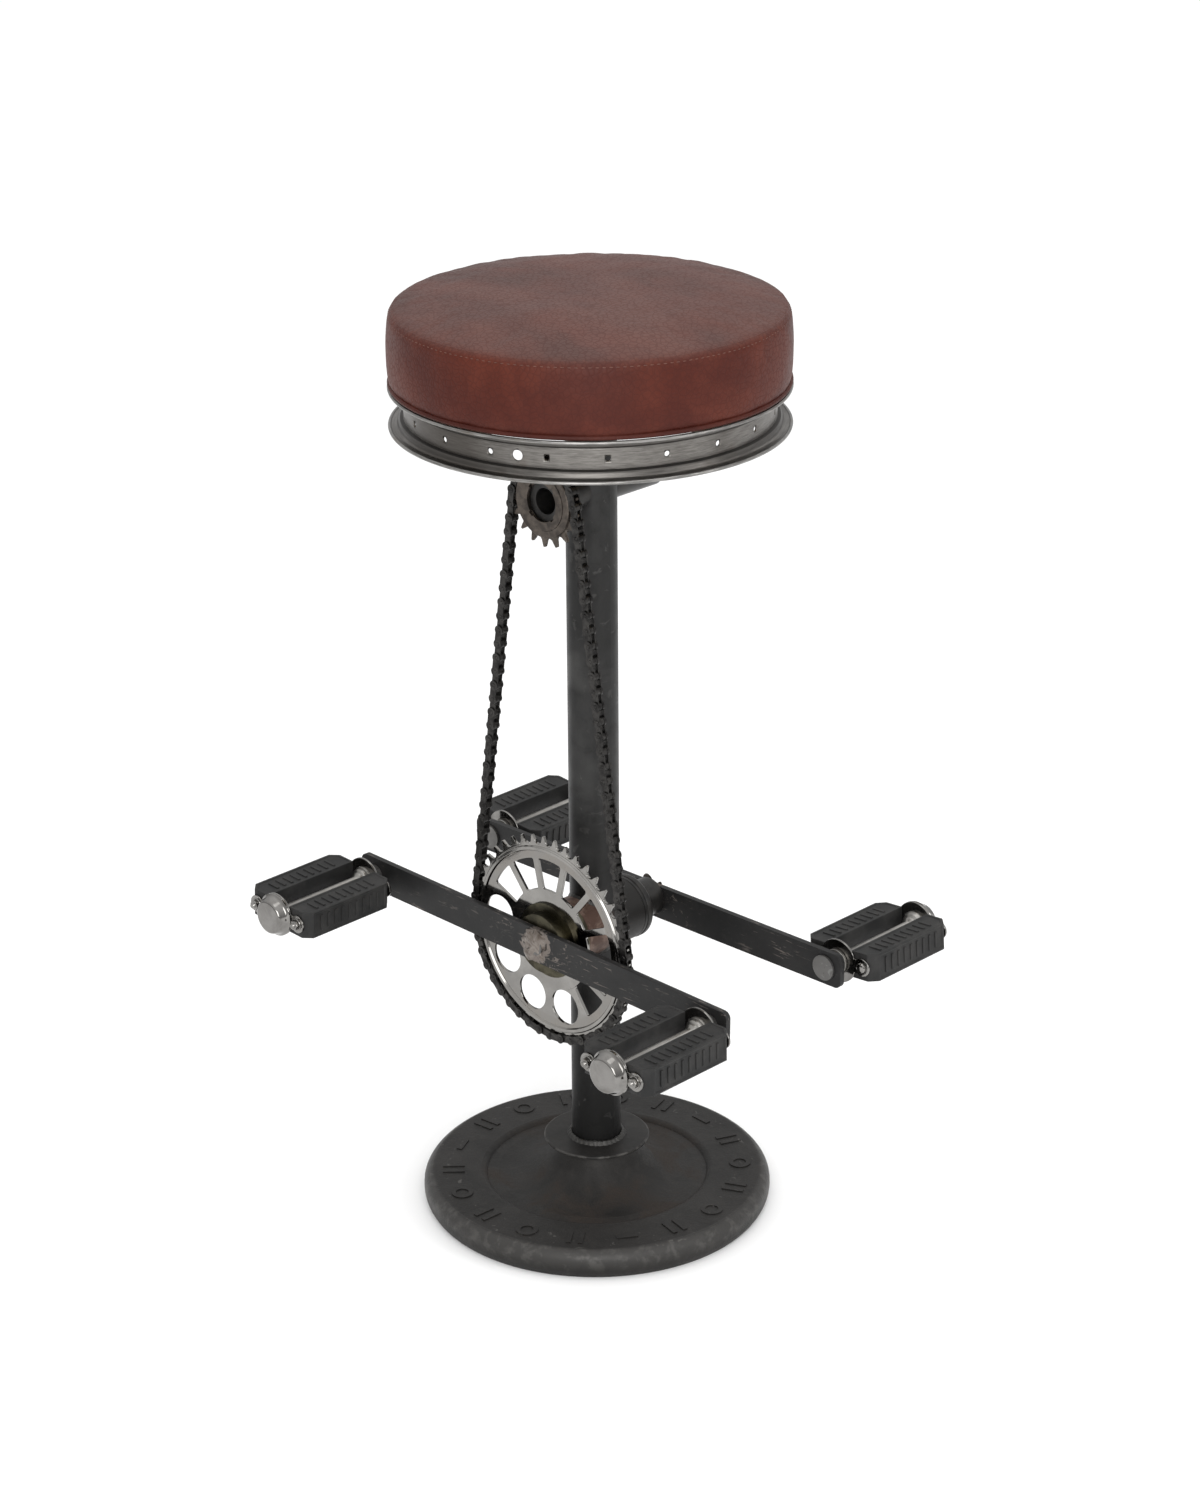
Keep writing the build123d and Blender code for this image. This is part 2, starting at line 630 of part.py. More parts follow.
def pedal_pieces():
    """One pedal about its spindle at x = z = 0, starting at y = 0 on the bar's outer face."""
    inner, outer = PEDAL_GAP, PEDAL_GAP + PEDAL_LENGTH
    head = BAR_THICKNESS + 2.0
    seat = 5.5
    ball_circle = SPINDLE_OD / 2 + 1.2 + PEDAL_BALL / 2
    race = ball_circle + PEDAL_BALL / 2 + BALL_PLAY
    cup_outer = BARREL_CUP_OD / 2
    waist = SPINDLE_WAIST_OD / 2
    spindle = turned(outline(
        (0, -head), (SPINDLE_HEAD_OD / 2, -head), (SPINDLE_HEAD_OD / 2, -BAR_THICKNESS),
        (SPINDLE_OD / 2, -BAR_THICKNESS), (SPINDLE_OD / 2, 0.0), (8.5, 0.0), (8.5, 5.0),
        (6.0, inner - 3.0), (SPINDLE_OD / 2, inner + 1.0), (SPINDLE_OD / 2, inner + seat),
        (waist, inner + seat + 2.5), (waist, outer - seat - 2.5), (SPINDLE_OD / 2, outer - seat),
        (SPINDLE_OD / 2, outer + 2.0), (waist, outer + 3.0), (0, outer + 3.0)))
    bore = waist + RUNNING
    barrel = turned(outline(
        (race, inner - 3.0), (cup_outer, inner - 3.0), (cup_outer, inner + 4.0),
        (cup_outer - 1.2, inner + 8.0), (BARREL_OD / 2, inner + 11.0),
        (BARREL_OD / 2, outer - 11.0), (cup_outer - 1.2, outer - 8.0), (cup_outer, outer - 4.0),
        (cup_outer, outer + 2.5), (race, outer + 2.5), (race, outer - seat),
        (bore, outer - seat - 4.0), (bore, inner + seat + 4.0), (race, inner + seat)))
    balls = []
    for y in (inner + 2.5, outer - 2.5):
        for index in range(PEDAL_BALLS):
            x, z = polar(ball_circle, index * 360.0 / PEDAL_BALLS)
            balls.append(Pos(x, y, z) * Sphere(PEDAL_BALL / 2))
    plates = [end_plate(inner, inner + PLATE_THICKNESS, cup_outer + SLIDE),
              end_plate(outer - PLATE_THICKNESS, outer, cup_outer + SLIDE)]
    blocks, bolts = [], []
    for x in (-BOLT_OFFSET, BOLT_OFFSET):
        blocks.append(rubber_block(x, inner + PLATE_THICKNESS, outer - PLATE_THICKNESS))
        bolts.append(turned(ring_face(0, BOLT_OD / 2, inner - 0.01, outer + 5.5, 0.3), x))
        bolts.append(turned(ring_face(0, 4.6, inner - 2.6, inner - 0.01, 0.7), x))
        nut = across(Pos(x, 0) * (RegularPolygon(4.6, 6) - Circle(BOLT_OD / 2 + SLIDE)),
                     outer, outer + 3.4)
        bolts.append(nut)
    cap = turned(outline(
        (cup_outer + SLIDE, outer), (CAP_BASE_OD / 2, outer), (CAP_BASE_OD / 2, outer + 1.2),
        (CAP_BASE_OD / 2 - 1.2, outer + 2.0), (CAP_FACE_OD / 2, outer + CAP_HEIGHT - 0.6),
        (CAP_FACE_OD / 2 - 0.8, outer + CAP_HEIGHT), (0, outer + CAP_HEIGHT),
        (0, outer + CAP_HEIGHT - 1.4), (CAP_FACE_OD / 2 - 2.4, outer + CAP_HEIGHT - 1.4),
        (CAP_BASE_OD / 2 - 3.2, outer + 2.6), (cup_outer + SLIDE, outer + 2.6)))
    return {"spindle": [spindle], "barrel": [barrel], "plates": plates, "blocks": blocks,
            "bolts": bolts, "cap": [cap]}, balls


def pedal_places():
    """Spindle place, side of the stool and tilt of each pedal."""
    places = {}
    for name, tilt in PEDAL_TILTS.items():
        front = name.startswith("front")
        lean = math.radians(FRONT_BAR_LEAN if front else BACK_BAR_LEAN)
        drop = 0.0 if front else BACK_BAR_DROP
        along = SPINDLE_X if name.endswith("right") else -SPINDLE_X
        x = along * math.cos(lean) - drop * math.sin(lean)
        z = CRANK_Z - along * math.sin(lean) - drop * math.cos(lean)
        face = (FRONT_BAR_Y - BAR_THICKNESS / 2) if front else (BACK_BAR_Y + BAR_THICKNESS / 2)
        places[name] = (x, face, z, -1 if front else 1, tilt)
    return places


def build_pedals():
    pieces, balls = pedal_pieces()
    all_balls = []
    for name, (x, face, z, side, tilt) in pedal_places().items():
        place = Pos(x, face, z) * Rot(0, -tilt, 0) * Rot(0, 0, 0 if side > 0 else 180)
        for piece, solids in pieces.items():
            keep(f"pedal_{name}_{piece}", *[place * solid for solid in solids])
        all_balls.extend(place * ball for ball in balls)
    keep("pedal_balls", *all_balls)


# ---- seat ----
def strip_face(points, wall):
    """Section of bent sheet, given its middle line."""
    left, right = [], []
    for index, (r, z) in enumerate(points):
        before = points[max(index - 1, 0)]
        after = points[min(index + 1, len(points) - 1)]
        one = Vector(r - before[0], z - before[1]) if index else Vector(after[0] - r, after[1] - z)
        two = Vector(after[0] - r, after[1] - z) if index < len(points) - 1 else one
        one, two = one.normalized(), two.normalized()
        normal = Vector(-(one.Y + two.Y), one.X + two.X).normalized()
        spread = wall / 2 / (normal.X * -one.Y + normal.Y * one.X)
        left.append((r + normal.X * spread, z + normal.Y * spread))
        right.append((r - normal.X * spread, z - normal.Y * spread))
    return make_face(Polyline(*left, *reversed(right), close=True))


def build_rim():
    middle = RIM_LOW_Z + RIM_WIDTH / 2
    half = RIM_WIDTH / 2
    line = WELL_RADIUS - RIM_WALL / 2
    lip = RIM_WALL
    rise = [(line, WELL_HALF - 1.5), (line + 0.6, WELL_HALF), (line + 3.2, WELL_HALF + 2.2),
            (line + 4.0, WELL_HALF + 4.2), (line + 4.8, half - 2.2), (line + 6.6, half - 1.0),
            (RIM_RADIUS - lip, half - lip / 2 - 0.1)]
    points = [(r, middle - z) for r, z in reversed(rise)] + [(r, middle + z) for r, z in rise]
    section = strip_face(points, RIM_WALL)
    for z in (middle - half + lip, middle + half - lip):
        section += Pos(RIM_RADIUS - lip, z) * Circle(lip)
    rim = lathe(section)
    for index in range(SPOKE_HOLES):
        turn = Rot(0, 0, FIRST_SPOKE + index * 360.0 / SPOKE_HOLES)
        rim -= turn * Pos(WELL_RADIUS, 0, middle) * Rot(0, 90, 0) * Cylinder(SPOKE_HOLE_OD / 2, 8)
    valve = Pos(WELL_RADIUS, 0, middle) * Rot(0, 90, 0) * Cylinder(VALVE_HOLE_OD / 2, 8)
    rim -= Rot(0, 0, VALVE_ANGLE) * valve
    keep("rim", rim)


def build_seat():
    arm_reach = WELL_RADIUS - RIM_WALL - SLIDE
    low, high = POST_TOP_Z, POST_TOP_Z + ARM_THICKNESS
    disc = Cylinder(arm_reach, ARM_THICKNESS)
    cross = Box(2 * arm_reach + 10, ARM_WIDTH, ARM_THICKNESS)
    cross += Box(ARM_WIDTH, 2 * arm_reach + 10, ARM_THICKNESS)
    cross &= disc
    cross = Pos(0, 0, (low + high) / 2) * cross
    board_low = RIM_LOW_Z + RIM_WIDTH
    spots = [polar(SCREW_CIRCLE, angle) for angle in (0, 90, 180, 270)]
    screws, spacers = [], []
    for x, y in spots:
        cross -= Pos(x, y, (low + high) / 2) * Cylinder(SCREW_OD / 2 + SLIDE, ARM_THICKNESS)
        shank = ring_face(0, SCREW_OD / 2, low, board_low + 9.0, 0.5)
        head = ring_face(0, SCREW_OD * 0.9, low - 4.0, low, 0.8)
        screws.append(Pos(x, y, 0) * (lathe(shank) + lathe(head)))
        spacers.append(Pos(x, y, 0) * lathe(ring_face(SCREW_OD / 2 + SLIDE, 8.0, high, board_low)))
    keep("seat_arms", cross)
    keep("seat_screws", *screws)
    keep("seat_spacers", *spacers)
    board_high = board_low + BOARD_THICKNESS
    board = lathe(ring_face(0, BOARD_RADIUS, board_low, board_high, 1.0))
    for x, y in spots:
        board -= Pos(x, y, board_low + 4.6) * Cylinder(SCREW_OD / 2 + SLIDE, 9.2)
    keep("seat_board", board)
    build_cushion(board_low + FACE_GAP, board_high + FACE_GAP)


def build_cushion(low, inside_z):
    """Crowned pad: its top is a cap of a sphere, so the outline meets the axis square."""
    inside = BOARD_RADIUS + FACE_GAP
    top = CUSHION_SEAM_Z + CUSHION_CROWN
    sphere = (CUSHION_SEAM_RADIUS ** 2 + CUSHION_CROWN ** 2) / (2 * CUSHION_CROWN)
    half = CUSHION_SEAM_RADIUS / 2
    through = top - sphere + math.sqrt(sphere ** 2 - half ** 2)
    cushion = outline(
        (inside, low), (CUSHION_RADIUS - 2.5, low),
        ((CUSHION_RADIUS, (low + CUSHION_SEAM_Z) / 2), (CUSHION_SEAM_RADIUS, CUSHION_SEAM_Z)),
        ((half, through), (0, top)), (0, inside_z), (inside, inside_z))
    keep("cushion", lathe(cushion))


def main():
    centre_distance = solve_centre_distance()
    stub_z = CRANK_Z + centre_distance
    print("chain centre distance", round(centre_distance, 3), "freewheel height", round(stub_z, 3))
    build_base()
    build_post(stub_z)
    build_bottom_bracket()
    build_crank()
    build_chainring()
    build_chain(centre_distance)
    build_freewheel(stub_z)
    build_pedals()
    build_rim()
    build_seat()
    os.makedirs("parts", exist_ok=True)
    for name, solids in parts.items():
        shape = solids[0] if len(solids) == 1 else Compound(children=solids)
        export_step(shape, f"parts/{name}.step")
    print(len(parts), "nodes,", sum(len(solids) for solids in parts.values()), "solids")


main()
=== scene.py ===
import json
import math

import bmesh
import bpy
from mathutils import Matrix, Vector, noise
from mathutils.bvhtree import BVHTree


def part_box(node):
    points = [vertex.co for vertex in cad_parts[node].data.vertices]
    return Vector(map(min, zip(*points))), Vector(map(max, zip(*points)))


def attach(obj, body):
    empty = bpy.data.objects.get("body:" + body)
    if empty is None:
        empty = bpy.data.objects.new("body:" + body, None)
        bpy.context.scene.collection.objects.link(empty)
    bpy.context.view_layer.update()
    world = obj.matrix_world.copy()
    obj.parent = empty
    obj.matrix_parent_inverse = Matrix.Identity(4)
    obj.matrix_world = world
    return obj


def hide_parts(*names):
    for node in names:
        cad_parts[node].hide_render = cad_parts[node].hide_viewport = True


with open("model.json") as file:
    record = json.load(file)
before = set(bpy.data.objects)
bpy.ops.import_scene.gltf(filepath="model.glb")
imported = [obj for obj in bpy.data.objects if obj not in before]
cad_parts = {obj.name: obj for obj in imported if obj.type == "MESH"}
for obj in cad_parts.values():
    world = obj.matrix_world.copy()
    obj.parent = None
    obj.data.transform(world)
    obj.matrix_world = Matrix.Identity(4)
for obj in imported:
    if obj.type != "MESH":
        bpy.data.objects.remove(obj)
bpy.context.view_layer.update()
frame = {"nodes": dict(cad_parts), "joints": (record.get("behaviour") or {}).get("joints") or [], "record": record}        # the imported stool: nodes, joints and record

NODES = frame["nodes"]
JOINTS = {joint["name"]: joint for joint in frame["joints"]}
MM = 0.001
TURN = 2 * math.pi

# ---- places read from the frame ----
CRANK = Vector(JOINTS["crank_spin"]["pos_m"])
BASE_TOP = float(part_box("base_casting")[1][2])
DISC_RADIUS, _, DISC_TOP = map(float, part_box("hub_disc")[1])
POST_RADIUS = float(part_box("post")[1][0])
RIM_LOW, RIM_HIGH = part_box("rim")
RIM_MIDDLE = float(RIM_LOW[2] + RIM_HIGH[2]) / 2
CUSHION_FOOT, CUSHION_TOP = (float(corner[2]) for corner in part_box("cushion"))
BOARD_RADIUS, _, BOARD_TOP = map(float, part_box("seat_board")[1])
SHELL_RADIUS = float(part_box("bb_shell")[1][0])
FRONT_FACE = float(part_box("front_bar")[0][1])       # outer faces of the two bars, along Y
BACK_FACE = float(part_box("back_bar")[1][1])


# ---- finishes ----
class Wire:
    """A socket in a finish. Arithmetic on it adds Math nodes, with 0 to 1 masks in mind."""

    def __init__(self, finish, socket):
        self.finish, self.socket = finish, socket

    def math(self, operation, *others):
        """A Math node on this socket and, for most operations, another."""
        values = dict(enumerate((self, *others)))
        return self.finish.node("ShaderNodeMath", {"operation": operation}, values)

    def __add__(self, other):
        return self.math("ADD", other)

    def __radd__(self, other):
        return self.math("ADD", other)

    def __sub__(self, other):
        return self.math("SUBTRACT", other)

    def __rsub__(self, other):
        return self.finish.node("ShaderNodeMath", {"operation": "SUBTRACT"}, {0: other, 1: self})

    def __mul__(self, other):
        return self.math("MULTIPLY", other)

    def __rmul__(self, other):
        return self.math("MULTIPLY", other)

    def __abs__(self):
        return self.math("ABSOLUTE")

    def most(self, other):
        return self.math("MAXIMUM", other)

    def step(self, low, high):
        """0 below low and 1 above high, smooth between; the other way round if low is above high."""
        if low > high:
            return 1 - self.step(high, low)
        return self.finish.node("ShaderNodeMapRange", {"interpolation_type": "SMOOTHSTEP"},
                                {"Value": self, "From Min": low, "From Max": high})

    def band(self, low, high, soft):
        """1 between low and high, fading to 0 over soft on either side."""
        return self.step(low - soft, low) * self.step(high + soft, high)


class Finish:
    """One material, built by calls that add its nodes."""

    def __init__(self, name):
        self.material = bpy.data.materials.new(name)
        self.material.use_nodes = True
        self.tree = self.material.node_tree
        self.tree.nodes.clear()
        self.place = self.node("ShaderNodeTexCoord", out="Object")
        parts = self.node("ShaderNodeSeparateXYZ", inputs={0: self.place}, out=None)
        self.x, self.y, self.z = (Wire(self, parts.outputs[axis]) for axis in "XYZ")

    def node(self, kind, settings=None, inputs=None, out=0):
        """Add a node of a kind: settings first, then a value or a link for each input."""
        made = self.tree.nodes.new(kind)
        for name, value in (settings or {}).items():
            setattr(made, name, value)
        for name, value in (inputs or {}).items():
            if isinstance(value, Wire):
                self.tree.links.new(value.socket, made.inputs[name])
            else:
                made.inputs[name].default_value = value
        return made if out is None else Wire(self, made.outputs[out])

    def noise(self, scale, detail=3.0, rough=0.55, place=None, warp=0.0):
        """Cloudy noise about 0.5, drawn on the piece itself unless a place is given."""
        return self.node("ShaderNodeTexNoise", inputs={
            "Vector": place or self.place, "Scale": scale, "Detail": detail, "Roughness": rough,
            "Distortion": warp})

    def cells(self, scale, feature="F1"):
        """Distance from the nearest cell's point, or another measure of the cells."""
        return self.node("ShaderNodeTexVoronoi", {"feature": feature},
                         {"Vector": self.place, "Scale": scale}, out="Distance")

    def vector(self, x, y, z):
        return self.node("ShaderNodeCombineXYZ", inputs={0: x, 1: y, 2: z})

    def mix(self, factor, one, two):
        """Colour one where factor is 0 and two where it is 1."""
        # The colour sockets of a Mix node are its inputs 6 and 7 and its output 2.
        inputs = {0: factor, 6: self.colour(one), 7: self.colour(two)}
        return self.node("ShaderNodeMix", {"data_type": "RGBA"}, inputs, out=2)

    @staticmethod
    def colour(value):
        """A wire as it is, or a red, green and blue with full alpha."""
        return value if isinstance(value, Wire) else (*value, 1.0)

    def shift(self, centre):
        """Object coordinates measured from a centre, as three wires."""
        return tuple(wire - float(at) for wire, at in zip((self.x, self.y, self.z), centre))

    @staticmethod
    def length(*wires):
        """Length of the vector that has these wires as its parts."""
        total = wires[0] * wires[0]
        for wire in wires[1:]:
            total = total + wire * wire
        return total.math("SQRT")

    def bump(self, height, distance, strength, under=None):
        """A bump of its own, or one on top of another bump."""
        inputs = {"Height": height, "Distance": distance, "Strength": strength}
        if under is not None:
            inputs["Normal"] = under
        return self.node("ShaderNodeBump", inputs=inputs)

    def surface(self, colour, metallic, rough, normal=None, **extra):
        """Join it all in one Principled shader."""
        inputs = {"Base Color": self.colour(colour), "Metallic": metallic, "Roughness": rough}
        if normal is not None:
            inputs["Normal"] = normal
        inputs.update({name.replace("_", " "): value for name, value in extra.items()})
        shader = self.node("ShaderNodeBsdfPrincipled", inputs=inputs)
        self.node("ShaderNodeOutputMaterial", inputs={"Surface": shader}, out=None)
        return self.material


def leather():
    """Dark red-brown hide with a fine grain: greyed on top by a painted sheen, rubbed at its seam, dark at
    its foot.
    """
    f = Finish("red_brown_hide")
    radius = f.length(f.x, f.y)
    cloud = f.noise(14, 4, 0.6, warp=0.4)
    fine = f.noise(320, 3, 0.6)
    grain = f.cells(620)
    crease = f.cells(210, "DISTANCE_TO_EDGE").step(0.16, 0.0)
    top = f.z.step(CUSHION_TOP - 0.020, CUSHION_TOP - 0.012)
    edge = f.z.band(CUSHION_TOP - 0.020, CUSHION_TOP - 0.012, 0.004) * radius.step(0.150, 0.158)
    streak = f.noise(9, 4, 0.6, f.vector(f.x * 0.45, f.y, f.z), 0.5)
    colour = f.mix(cloud.step(0.35, 0.72), (0.052, 0.0085, 0.0045), (0.088, 0.0180, 0.0095))
    # painted sheen: the top of the cushion is greyed as if light glanced off it
    colour = f.mix(top * 0.5, colour, (0.108, 0.060, 0.052))
    colour = f.mix(top * streak.step(0.46, 0.62) * 0.5, colour, (0.055, 0.030, 0.026))
    colour = f.mix(top * streak.step(0.50, 0.36) * 0.35, colour, (0.125, 0.055, 0.043))
    colour = f.mix(edge * fine.step(0.5, 0.7) * 0.22, colour, (0.14, 0.045, 0.025))
    foot = f.z.step(CUSHION_FOOT + 0.010, CUSHION_FOOT)
    colour = f.mix(foot * 0.5, colour, (0.020, 0.005, 0.004))
    colour = f.mix(crease * 0.25, colour, (0.030, 0.006, 0.004))
    rough = 0.34 + cloud * 0.14 + fine * 0.10 + crease * 0.1
    height = grain * 0.5 + fine * 0.3 - crease * 0.6
    normal = f.bump(height, 0.00025, 0.60, f.bump(cloud, 0.002, 0.4))
    return f.surface(colour, 0.0, rough, normal, Specular_IOR_Level=0.16)


def around(f, stretch, axis="z", centre=(0, 0, 0)):
    """Coordinates that run round an axis, so that a pattern is drawn out along the turning."""
    x, y, z = f.shift(centre)
    side, along = (y, z) if axis == "z" else (z, y)
    angle, radius = side.math("ARCTAN2", x), f.length(x, side)
    return f.vector(angle * stretch, radius, along), radius


def brushed_rim():
    """Bare steel rim, brushed round its turning, with painted shade in its groove and its hollow band."""
    f = Finish("brushed_rim_steel")
    place, _ = around(f, 0.012)
    strokes = f.noise(900, 5, 0.7, place)
    wide = f.noise(60, 3, 0.5, place)
    stain = f.noise(22, 4, 0.6)
    tarnish = f.noise(7.5, 3, 0.5, f.vector(f.x, f.y, f.z * 0.3), 0.6)
    height = abs(f.z - RIM_MIDDLE)
    hollow = height.band(0.0098, 0.0128, 0.0012)
    groove = height.band(0.0086, 0.0094, 0.0004)
    colour = f.mix(strokes.step(0.3, 0.7), (0.108, 0.101, 0.094), (0.205, 0.195, 0.182))
    colour = f.mix(tarnish.step(0.44, 0.62) * 0.75, colour, (0.055, 0.048, 0.042))
    colour = f.mix(stain.step(0.55, 0.75) * 0.5, colour, (0.085, 0.066, 0.050))
    # painted shade: the hollow band here and the groove on the next line are darkened where shade falls in
    # them
    colour = f.mix(hollow * 0.55, colour, (0.06, 0.056, 0.052))
    colour = f.mix(groove * 0.8, colour, (0.04, 0.037, 0.035))
    rough = 0.22 + strokes * 0.14 + stain * 0.12 + groove * 0.2
    normal = f.bump(strokes + wide * 0.5, 0.00012, 0.5)
    return f.surface(colour, 0.95, rough, normal)


def bare_steel(name="bare_steel", tone=0.17):
    """Uncoated steel with drawing marks, handling stains and small scuffs."""
    f = Finish(name)
    place, _ = around(f, 0.02)
    drawn = f.noise(500, 4, 0.65, place)
    stain = f.noise(16, 5, 0.62, warp=0.6)
    scuff = f.noise(120, 2, 0.5, warp=1.5).step(0.63, 0.69)
    spots = f.cells(260).step(0.16, 0.10) * stain.step(0.45, 0.6)
    dark = (tone * 0.55, tone * 0.53, tone * 0.50)
    colour = f.mix(stain.step(0.3, 0.72), dark, (tone, tone * 0.98, tone * 0.95))
    colour = f.mix(scuff * 0.5, colour, (tone * 1.5, tone * 1.48, tone * 1.45))
    colour = f.mix(spots * 0.5, colour, (0.07, 0.045, 0.03))
    rough = 0.34 + stain * 0.2 - scuff * 0.08 + drawn * 0.06
    normal = f.bump(drawn, 0.0001, 0.3, f.bump(stain, 0.0008, 0.25))
    return f.surface(colour, 0.9, rough, normal)


def post_steel():
    """The post: dull grey pipe, worn at mid height, scuffed in places and darker towards its foot."""
    f = Finish("post_pipe_steel")
    place, _ = around(f, 0.3)
    drawn = f.noise(300, 4, 0.6, place)
    stain = f.noise(9, 5, 0.6, warp=0.8)
    fine = f.noise(70, 4, 0.65, warp=0.5)
    scuff = f.noise(45, 3, 0.6, warp=2.0).step(0.62, 0.70)
    worn = f.noise(12, 2, 0.5).step(0.52, 0.62) * f.z.band(0.42, 0.62, 0.05)
    foot_darkening = f.z.step(0.24, 0.14)
    colour = f.mix(stain.step(0.32, 0.70), (0.023, 0.0228, 0.0225), (0.038, 0.0375, 0.037))
    colour = f.mix(fine.step(0.5, 0.72) * 0.5, colour, (0.019, 0.0185, 0.018))
    # darker towards the foot of the post
    colour = f.mix(foot_darkening * 0.6, colour, (0.009, 0.0088, 0.0085))
    colour = f.mix(scuff * 0.35, colour, (0.085, 0.083, 0.080))
    colour = f.mix(worn * 0.35, colour, (0.11, 0.108, 0.104))
    rough = 0.38 + fine * 0.2 - worn * 0.1 - scuff * 0.05
    normal = f.bump(drawn + fine, 0.00018, 0.35, f.bump(stain, 0.0008, 0.2))
    return f.surface(colour, 0.85, rough, normal)


def cast_iron():
    """Dark brown-black casting, its lips paler with painted light and worn in patches, with rust in the
    dish.
    """
    f = Finish("dark_cast_iron")
    radius = f.length(f.x, f.y)
    pits = f.noise(520, 5, 0.7)
    cast = f.noise(90, 4, 0.6, warp=0.3)
    patch = f.noise(17, 5, 0.62, warp=0.9)
    rust = patch.step(0.46, 0.66) * radius.band(0.052, 0.095, 0.008)
    lip = radius.step(0.1405, 0.1465) * f.z.step(0.006, 0.020)
    chip = radius.band(0.120, 0.1455, 0.0015) * f.noise(140, 2, 0.5, warp=1.0).step(0.68, 0.72)
    neck = f.z.step(BASE_TOP - 0.016, BASE_TOP - 0.004)
    colour = f.mix(patch.step(0.3, 0.7), (0.0120, 0.0112, 0.0104), (0.0220, 0.0204, 0.0190))
    colour = f.mix(cast.step(0.5, 0.75) * 0.45, colour, (0.0300, 0.0275, 0.0250))
    colour = f.mix(rust * 0.45, colour, (0.0330, 0.0220, 0.0155))
    # painted light: the rounded lip band is paler as if it faced the light
    colour = f.mix(lip * 0.75, colour, (0.0480, 0.0462, 0.0440))
    colour = f.mix(lip * cast.step(0.48, 0.66) * 0.5, colour, (0.090, 0.086, 0.081))
    colour = f.mix(neck * 0.5, colour, (0.045, 0.042, 0.039))
    colour = f.mix(chip * 0.5, colour, (0.110, 0.105, 0.098))
    rough = 0.46 + pits * 0.16 + rust * 0.15 - lip * 0.08
    normal = f.bump(pits * 0.6 + cast, 0.0007, 0.55, f.bump(patch, 0.002, 0.3))
    return f.surface(colour, 0.35, rough, normal, Specular_IOR_Level=0.3)


def disc_iron():
    """The thin disc round the foot of the post, with a bright rubbed edge."""
    f = Finish("foot_disc_iron")
    radius = f.length(f.x, f.y)
    cast = f.noise(120, 4, 0.6, warp=0.4)
    patch = f.noise(26, 4, 0.6, warp=0.8)
    edge = radius.step(DISC_RADIUS - 0.0022, DISC_RADIUS - 0.0008)
    colour = f.mix(patch.step(0.3, 0.7), (0.0130, 0.0122, 0.0114), (0.0240, 0.0222, 0.0205))
    colour = f.mix(edge * cast.step(0.40, 0.65) * 0.6, colour, (0.085, 0.081, 0.076))
    normal = f.bump(cast, 0.0004, 0.4)
    return f.surface(colour, 0.4, 0.42 + cast * 0.2, normal, Specular_IOR_Level=0.35)


def bar_paint():
    """Black paint on the flat bars: scratched lengthwise, and ground back to steel round the axle."""
    f = Finish("scratched_black_paint")
    along, _, up = f.shift((0, 0, CRANK[2]))
    from_axle = f.length(along, up)
    long_way = f.vector(f.x * 0.12, f.y, f.z)
    scratch = f.noise(420, 3, 0.6, long_way, 0.6).step(0.61, 0.66)
    nick = f.noise(150, 3, 0.6, warp=1.2)
    cloud = f.noise(20, 4, 0.6)
    ragged = from_axle + (cloud - 0.5) * 0.030 + (nick - 0.5) * 0.016
    ground = ragged.step(0.0165, 0.0145)
    smear = from_axle.step(0.075, 0.020) * nick.step(0.60, 0.66) * cloud.step(0.42, 0.55)
    scratched = scratch * cloud.step(0.40, 0.60) * 0.6
    wear = scratched.most(smear * 0.7).most(ground * nick.step(0.25, 0.42))
    colour = f.mix(cloud.step(0.3, 0.7), (0.0075, 0.0074, 0.0076), (0.0165, 0.0160, 0.0158))
    colour = f.mix(nick.step(0.58, 0.75) * 0.4, colour, (0.034, 0.032, 0.030))
    colour = f.mix(wear, colour, (0.190, 0.165, 0.148))
    rough = 0.38 + cloud * 0.18 + wear * 0.08
    normal = f.bump(nick - wear * 0.6, 0.0002, 0.4, f.bump(cloud, 0.0008, 0.25))
    return f.surface(colour, wear * 0.9, rough, normal, Specular_IOR_Level=0.22)


def dull_chrome():
    """Old plating: soft grey mirror with cloudy stains and fine turning marks."""
    f = Finish("dull_plating")
    place, radius = around(f, 0.01, "y", CRANK)
    turning = f.noise(700, 3, 0.6, place)
    cloud = f.noise(30, 5, 0.6, warp=0.7)
    pit = f.cells(330).step(0.13, 0.08) * cloud.step(0.45, 0.6)
    colour = f.mix(cloud.step(0.3, 0.72), (0.205, 0.198, 0.188), (0.280, 0.272, 0.258))
    colour = f.mix(pit * 0.7, colour, (0.12, 0.085, 0.06))
    grime = radius.band(0.0725, 0.0785, 0.002) * cloud.step(0.4, 0.6)
    colour = f.mix(grime * 0.4, colour, (0.16, 0.14, 0.12))
    rough = 0.05 + cloud * 0.09 + pit * 0.2
    normal = f.bump(turning, 0.00006, 0.25, f.bump(cloud, 0.0006, 0.15))
    return f.surface(colour, 1.0, rough, normal)


def plain_metal(name, dark, light, rough, scale=60, metallic=1.0):
    """A metal finish that only needs clouding and a fine grain."""
    f = Finish(name)
    cloud = f.noise(scale, 4, 0.6, warp=0.5)
    fine = f.noise(scale * 12, 3, 0.6)
    colour = f.mix(cloud.step(0.3, 0.7), dark, light)
    shade = rough + cloud * 0.12 + fine * 0.06
    return f.surface(colour, metallic, shade, f.bump(fine + cloud, 0.00015, 0.3))


